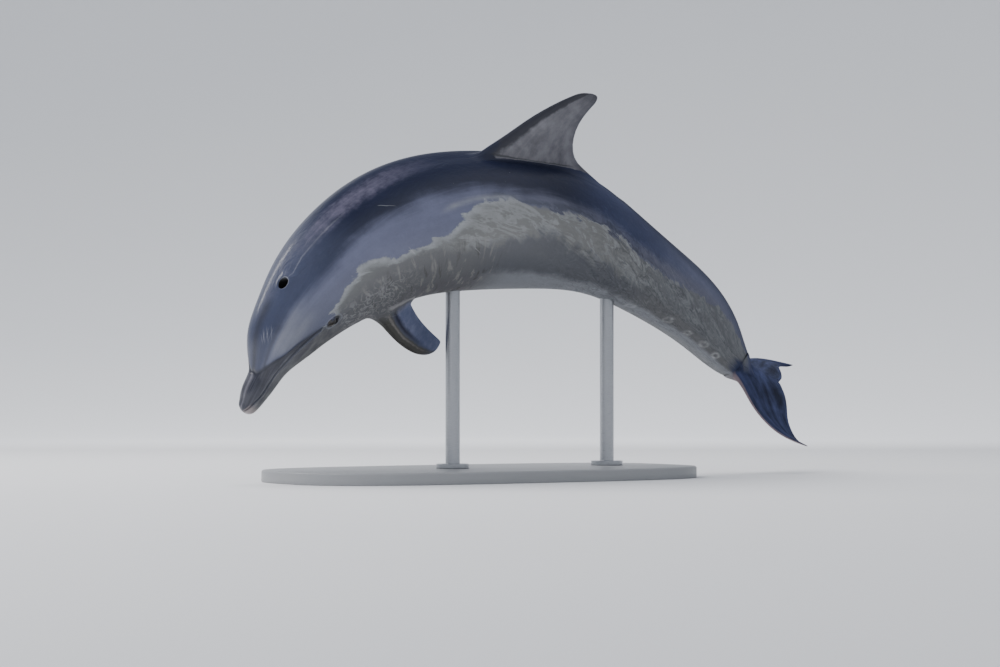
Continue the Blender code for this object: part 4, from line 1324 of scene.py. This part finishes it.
def dress_plate():
    """The plate: rings of half length times cos**power by half width times sin**power, signs kept.

    Each ring is drawn in by its inset and lies at its height.
    """
    w = np.linspace(0, 2 * np.pi, 360, endpoint=False)
    shape_x = np.sign(np.cos(w)) * np.abs(np.cos(w)) ** PLATE_POWER
    shape_y = np.sign(np.sin(w)) * np.abs(np.sin(w)) ** PLATE_POWER
    inset, height = plate_rows().T[:, :, None]
    rings = np.stack(np.broadcast_arrays(np.maximum(BASE_HALF_LENGTH - inset, 0.05) * shape_x,
                                         np.maximum(BASE_HALF_WIDTH - inset, 0.02) * shape_y, height), -1)
    points, faces = closed_rings(rings, [[0, 0, 0], [0, 0, BASE_THICK]])
    plate = new_piece("stand_plate", points, faces, plate_finish(), ("stand_base",))
    store(plate, "rim", np.concatenate((np.repeat(bell(inset[:, 0] - 0.002, 0.003), len(w)), [0, 0])))


def dress_rod(name, station, steel):
    """A rod with a round collar at its foot: a rounded profile turned about an upright axis."""
    x, y, _ = body_axis(station)
    foot = BASE_THICK + GAP
    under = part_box(name)[1][2] - foot + 0.004
    profile = rounded(((0.001, 0), (COLLAR_RADIUS, 0), (COLLAR_RADIUS, COLLAR_HEIGHT),
                       (ROD_RADIUS, COLLAR_HEIGHT), (ROD_RADIUS, under), (0.001, under)), 0.0022)
    points, faces = lathe(profile, 96, np.array((x, y, foot)), np.eye(3))
    new_piece(name.replace("stand_rod", "stand_steel"), points, faces, steel, (name,))


dress_plate()
steel = rod_finish()
for name, station in ROD_STATIONS:
    dress_rod(name, station, steel)


# ------------------------------------------------------------ studio
FLOOR_FLAT = 7.0      # radius of the flat part
FLOOR_CURVE = 10.0    # radius of the curve that carries it up to a wall all round


def lay_floor():
    """A round floor whose rim curves up to a wall all round: its section turned about an upright axis."""
    w = np.linspace(0, 2 * np.pi, 160, endpoint=False)
    k = np.linspace(0, np.pi / 2, 40)[1:]
    out = np.concatenate(([0.5, 3.0, FLOOR_FLAT], FLOOR_FLAT + FLOOR_CURVE * np.sin(k)))[:, None]
    height = np.concatenate(([0.0, 0.0, 0.0], FLOOR_CURVE * (1 - np.cos(k))))[:, None]
    points = np.stack(np.broadcast_arrays(out * np.cos(w), out * np.sin(w), height), -1).reshape(-1, 3)
    faces = grid_faces(len(out), len(w)).tolist() + fan(np.arange(len(w)), len(points), True).tolist()
    faces = [face[::-1] for face in faces]
    mesh = bpy.data.meshes.new("studio_floor")
    mesh.from_pydata(np.vstack((points, [[0, 0, 0]])).tolist(), [], faces)
    mesh.shade_smooth()
    mesh.materials.append(floor_finish())
    floor = bpy.data.objects.new("studio_floor", mesh)
    bpy.context.scene.collection.objects.link(floor)


lay_floor()
world = bpy.data.worlds.new("studio")
bpy.context.scene.world = world
world.use_nodes = True
sky = world.node_tree.nodes["Background"].inputs
sky["Color"].default_value = (0.84, 0.87, 0.97, 1)     # cool, like an overcast sky
sky["Strength"].default_value = 0.70


def lamp(name, place, target, size, power, tint, shown):
    """A rectangular soft light, aimed at a point; shown says whether wet skin mirrors it."""
    data = bpy.data.lights.new(name, "AREA")
    data.shape = "RECTANGLE"
    data.size, data.size_y = size
    data.energy = power
    data.color = tint
    made = bpy.data.objects.new(name, data)
    bpy.context.scene.collection.objects.link(made)
    made.location = place
    made.rotation_euler = (Vector(target) - Vector(place)).to_track_quat("-Z", "Y").to_euler()
    made.visible_glossy = shown


# room axes as the camera sees them: right, away, up
to_room = turn("z", HEADING)


def room(right, away, up):
    """A place given from the camera's side: metres to the right, away and up from the stance."""
    return np.array((STANCE[0], STANCE[1], 0.0)) + to_room @ np.array((right, away, up))


# name, place, what it is aimed at, size, watts, colour, whether wet skin mirrors it
for name, place, target, *rest in (
        ("key_softbox", (-2.6, 1.5, 6.2), (-0.1, 0, 0.8), (6.5, 5.0), 620, (1.0, 0.97, 0.97), False),
        ("front_softbox", (-3.8, -5.2, 2.8), (0, 0, 0.7), (4.5, 3.5), 190, (0.98, 0.97, 1.0), False),
        ("glint", (-4.5, 1.8, 3.2), (-0.4, 0, 0.8), (0.6, 1.6), 34, (1.0, 0.98, 0.96), True),
        ("backdrop_wash", (0.0, 5.0, 4.0), (0, 13.0, 1.5), (9.0, 2.0), 420, (0.97, 0.97, 1.0), True)):
    lamp(name, room(*place), room(*target), *rest)

LENS = 90.0           # millimetres, on a sensor 36 wide
CAMERA_FROM_STANCE = (0.0367, -7.65, -0.5263)     # metres right, away and up
CAMERA_RAISED = 1.295     # degrees that it looks above the horizontal
camera = bpy.data.objects.new("camera", bpy.data.cameras.new("camera"))
bpy.context.scene.collection.objects.link(camera)
bpy.context.scene.camera = camera
camera.data.lens = LENS
camera.data.sensor_width = 36.0
camera.location = np.array(STANCE) + to_room @ np.array(CAMERA_FROM_STANCE)
camera.rotation_euler = (np.radians(90 + CAMERA_RAISED), 0, np.radians(HEADING))
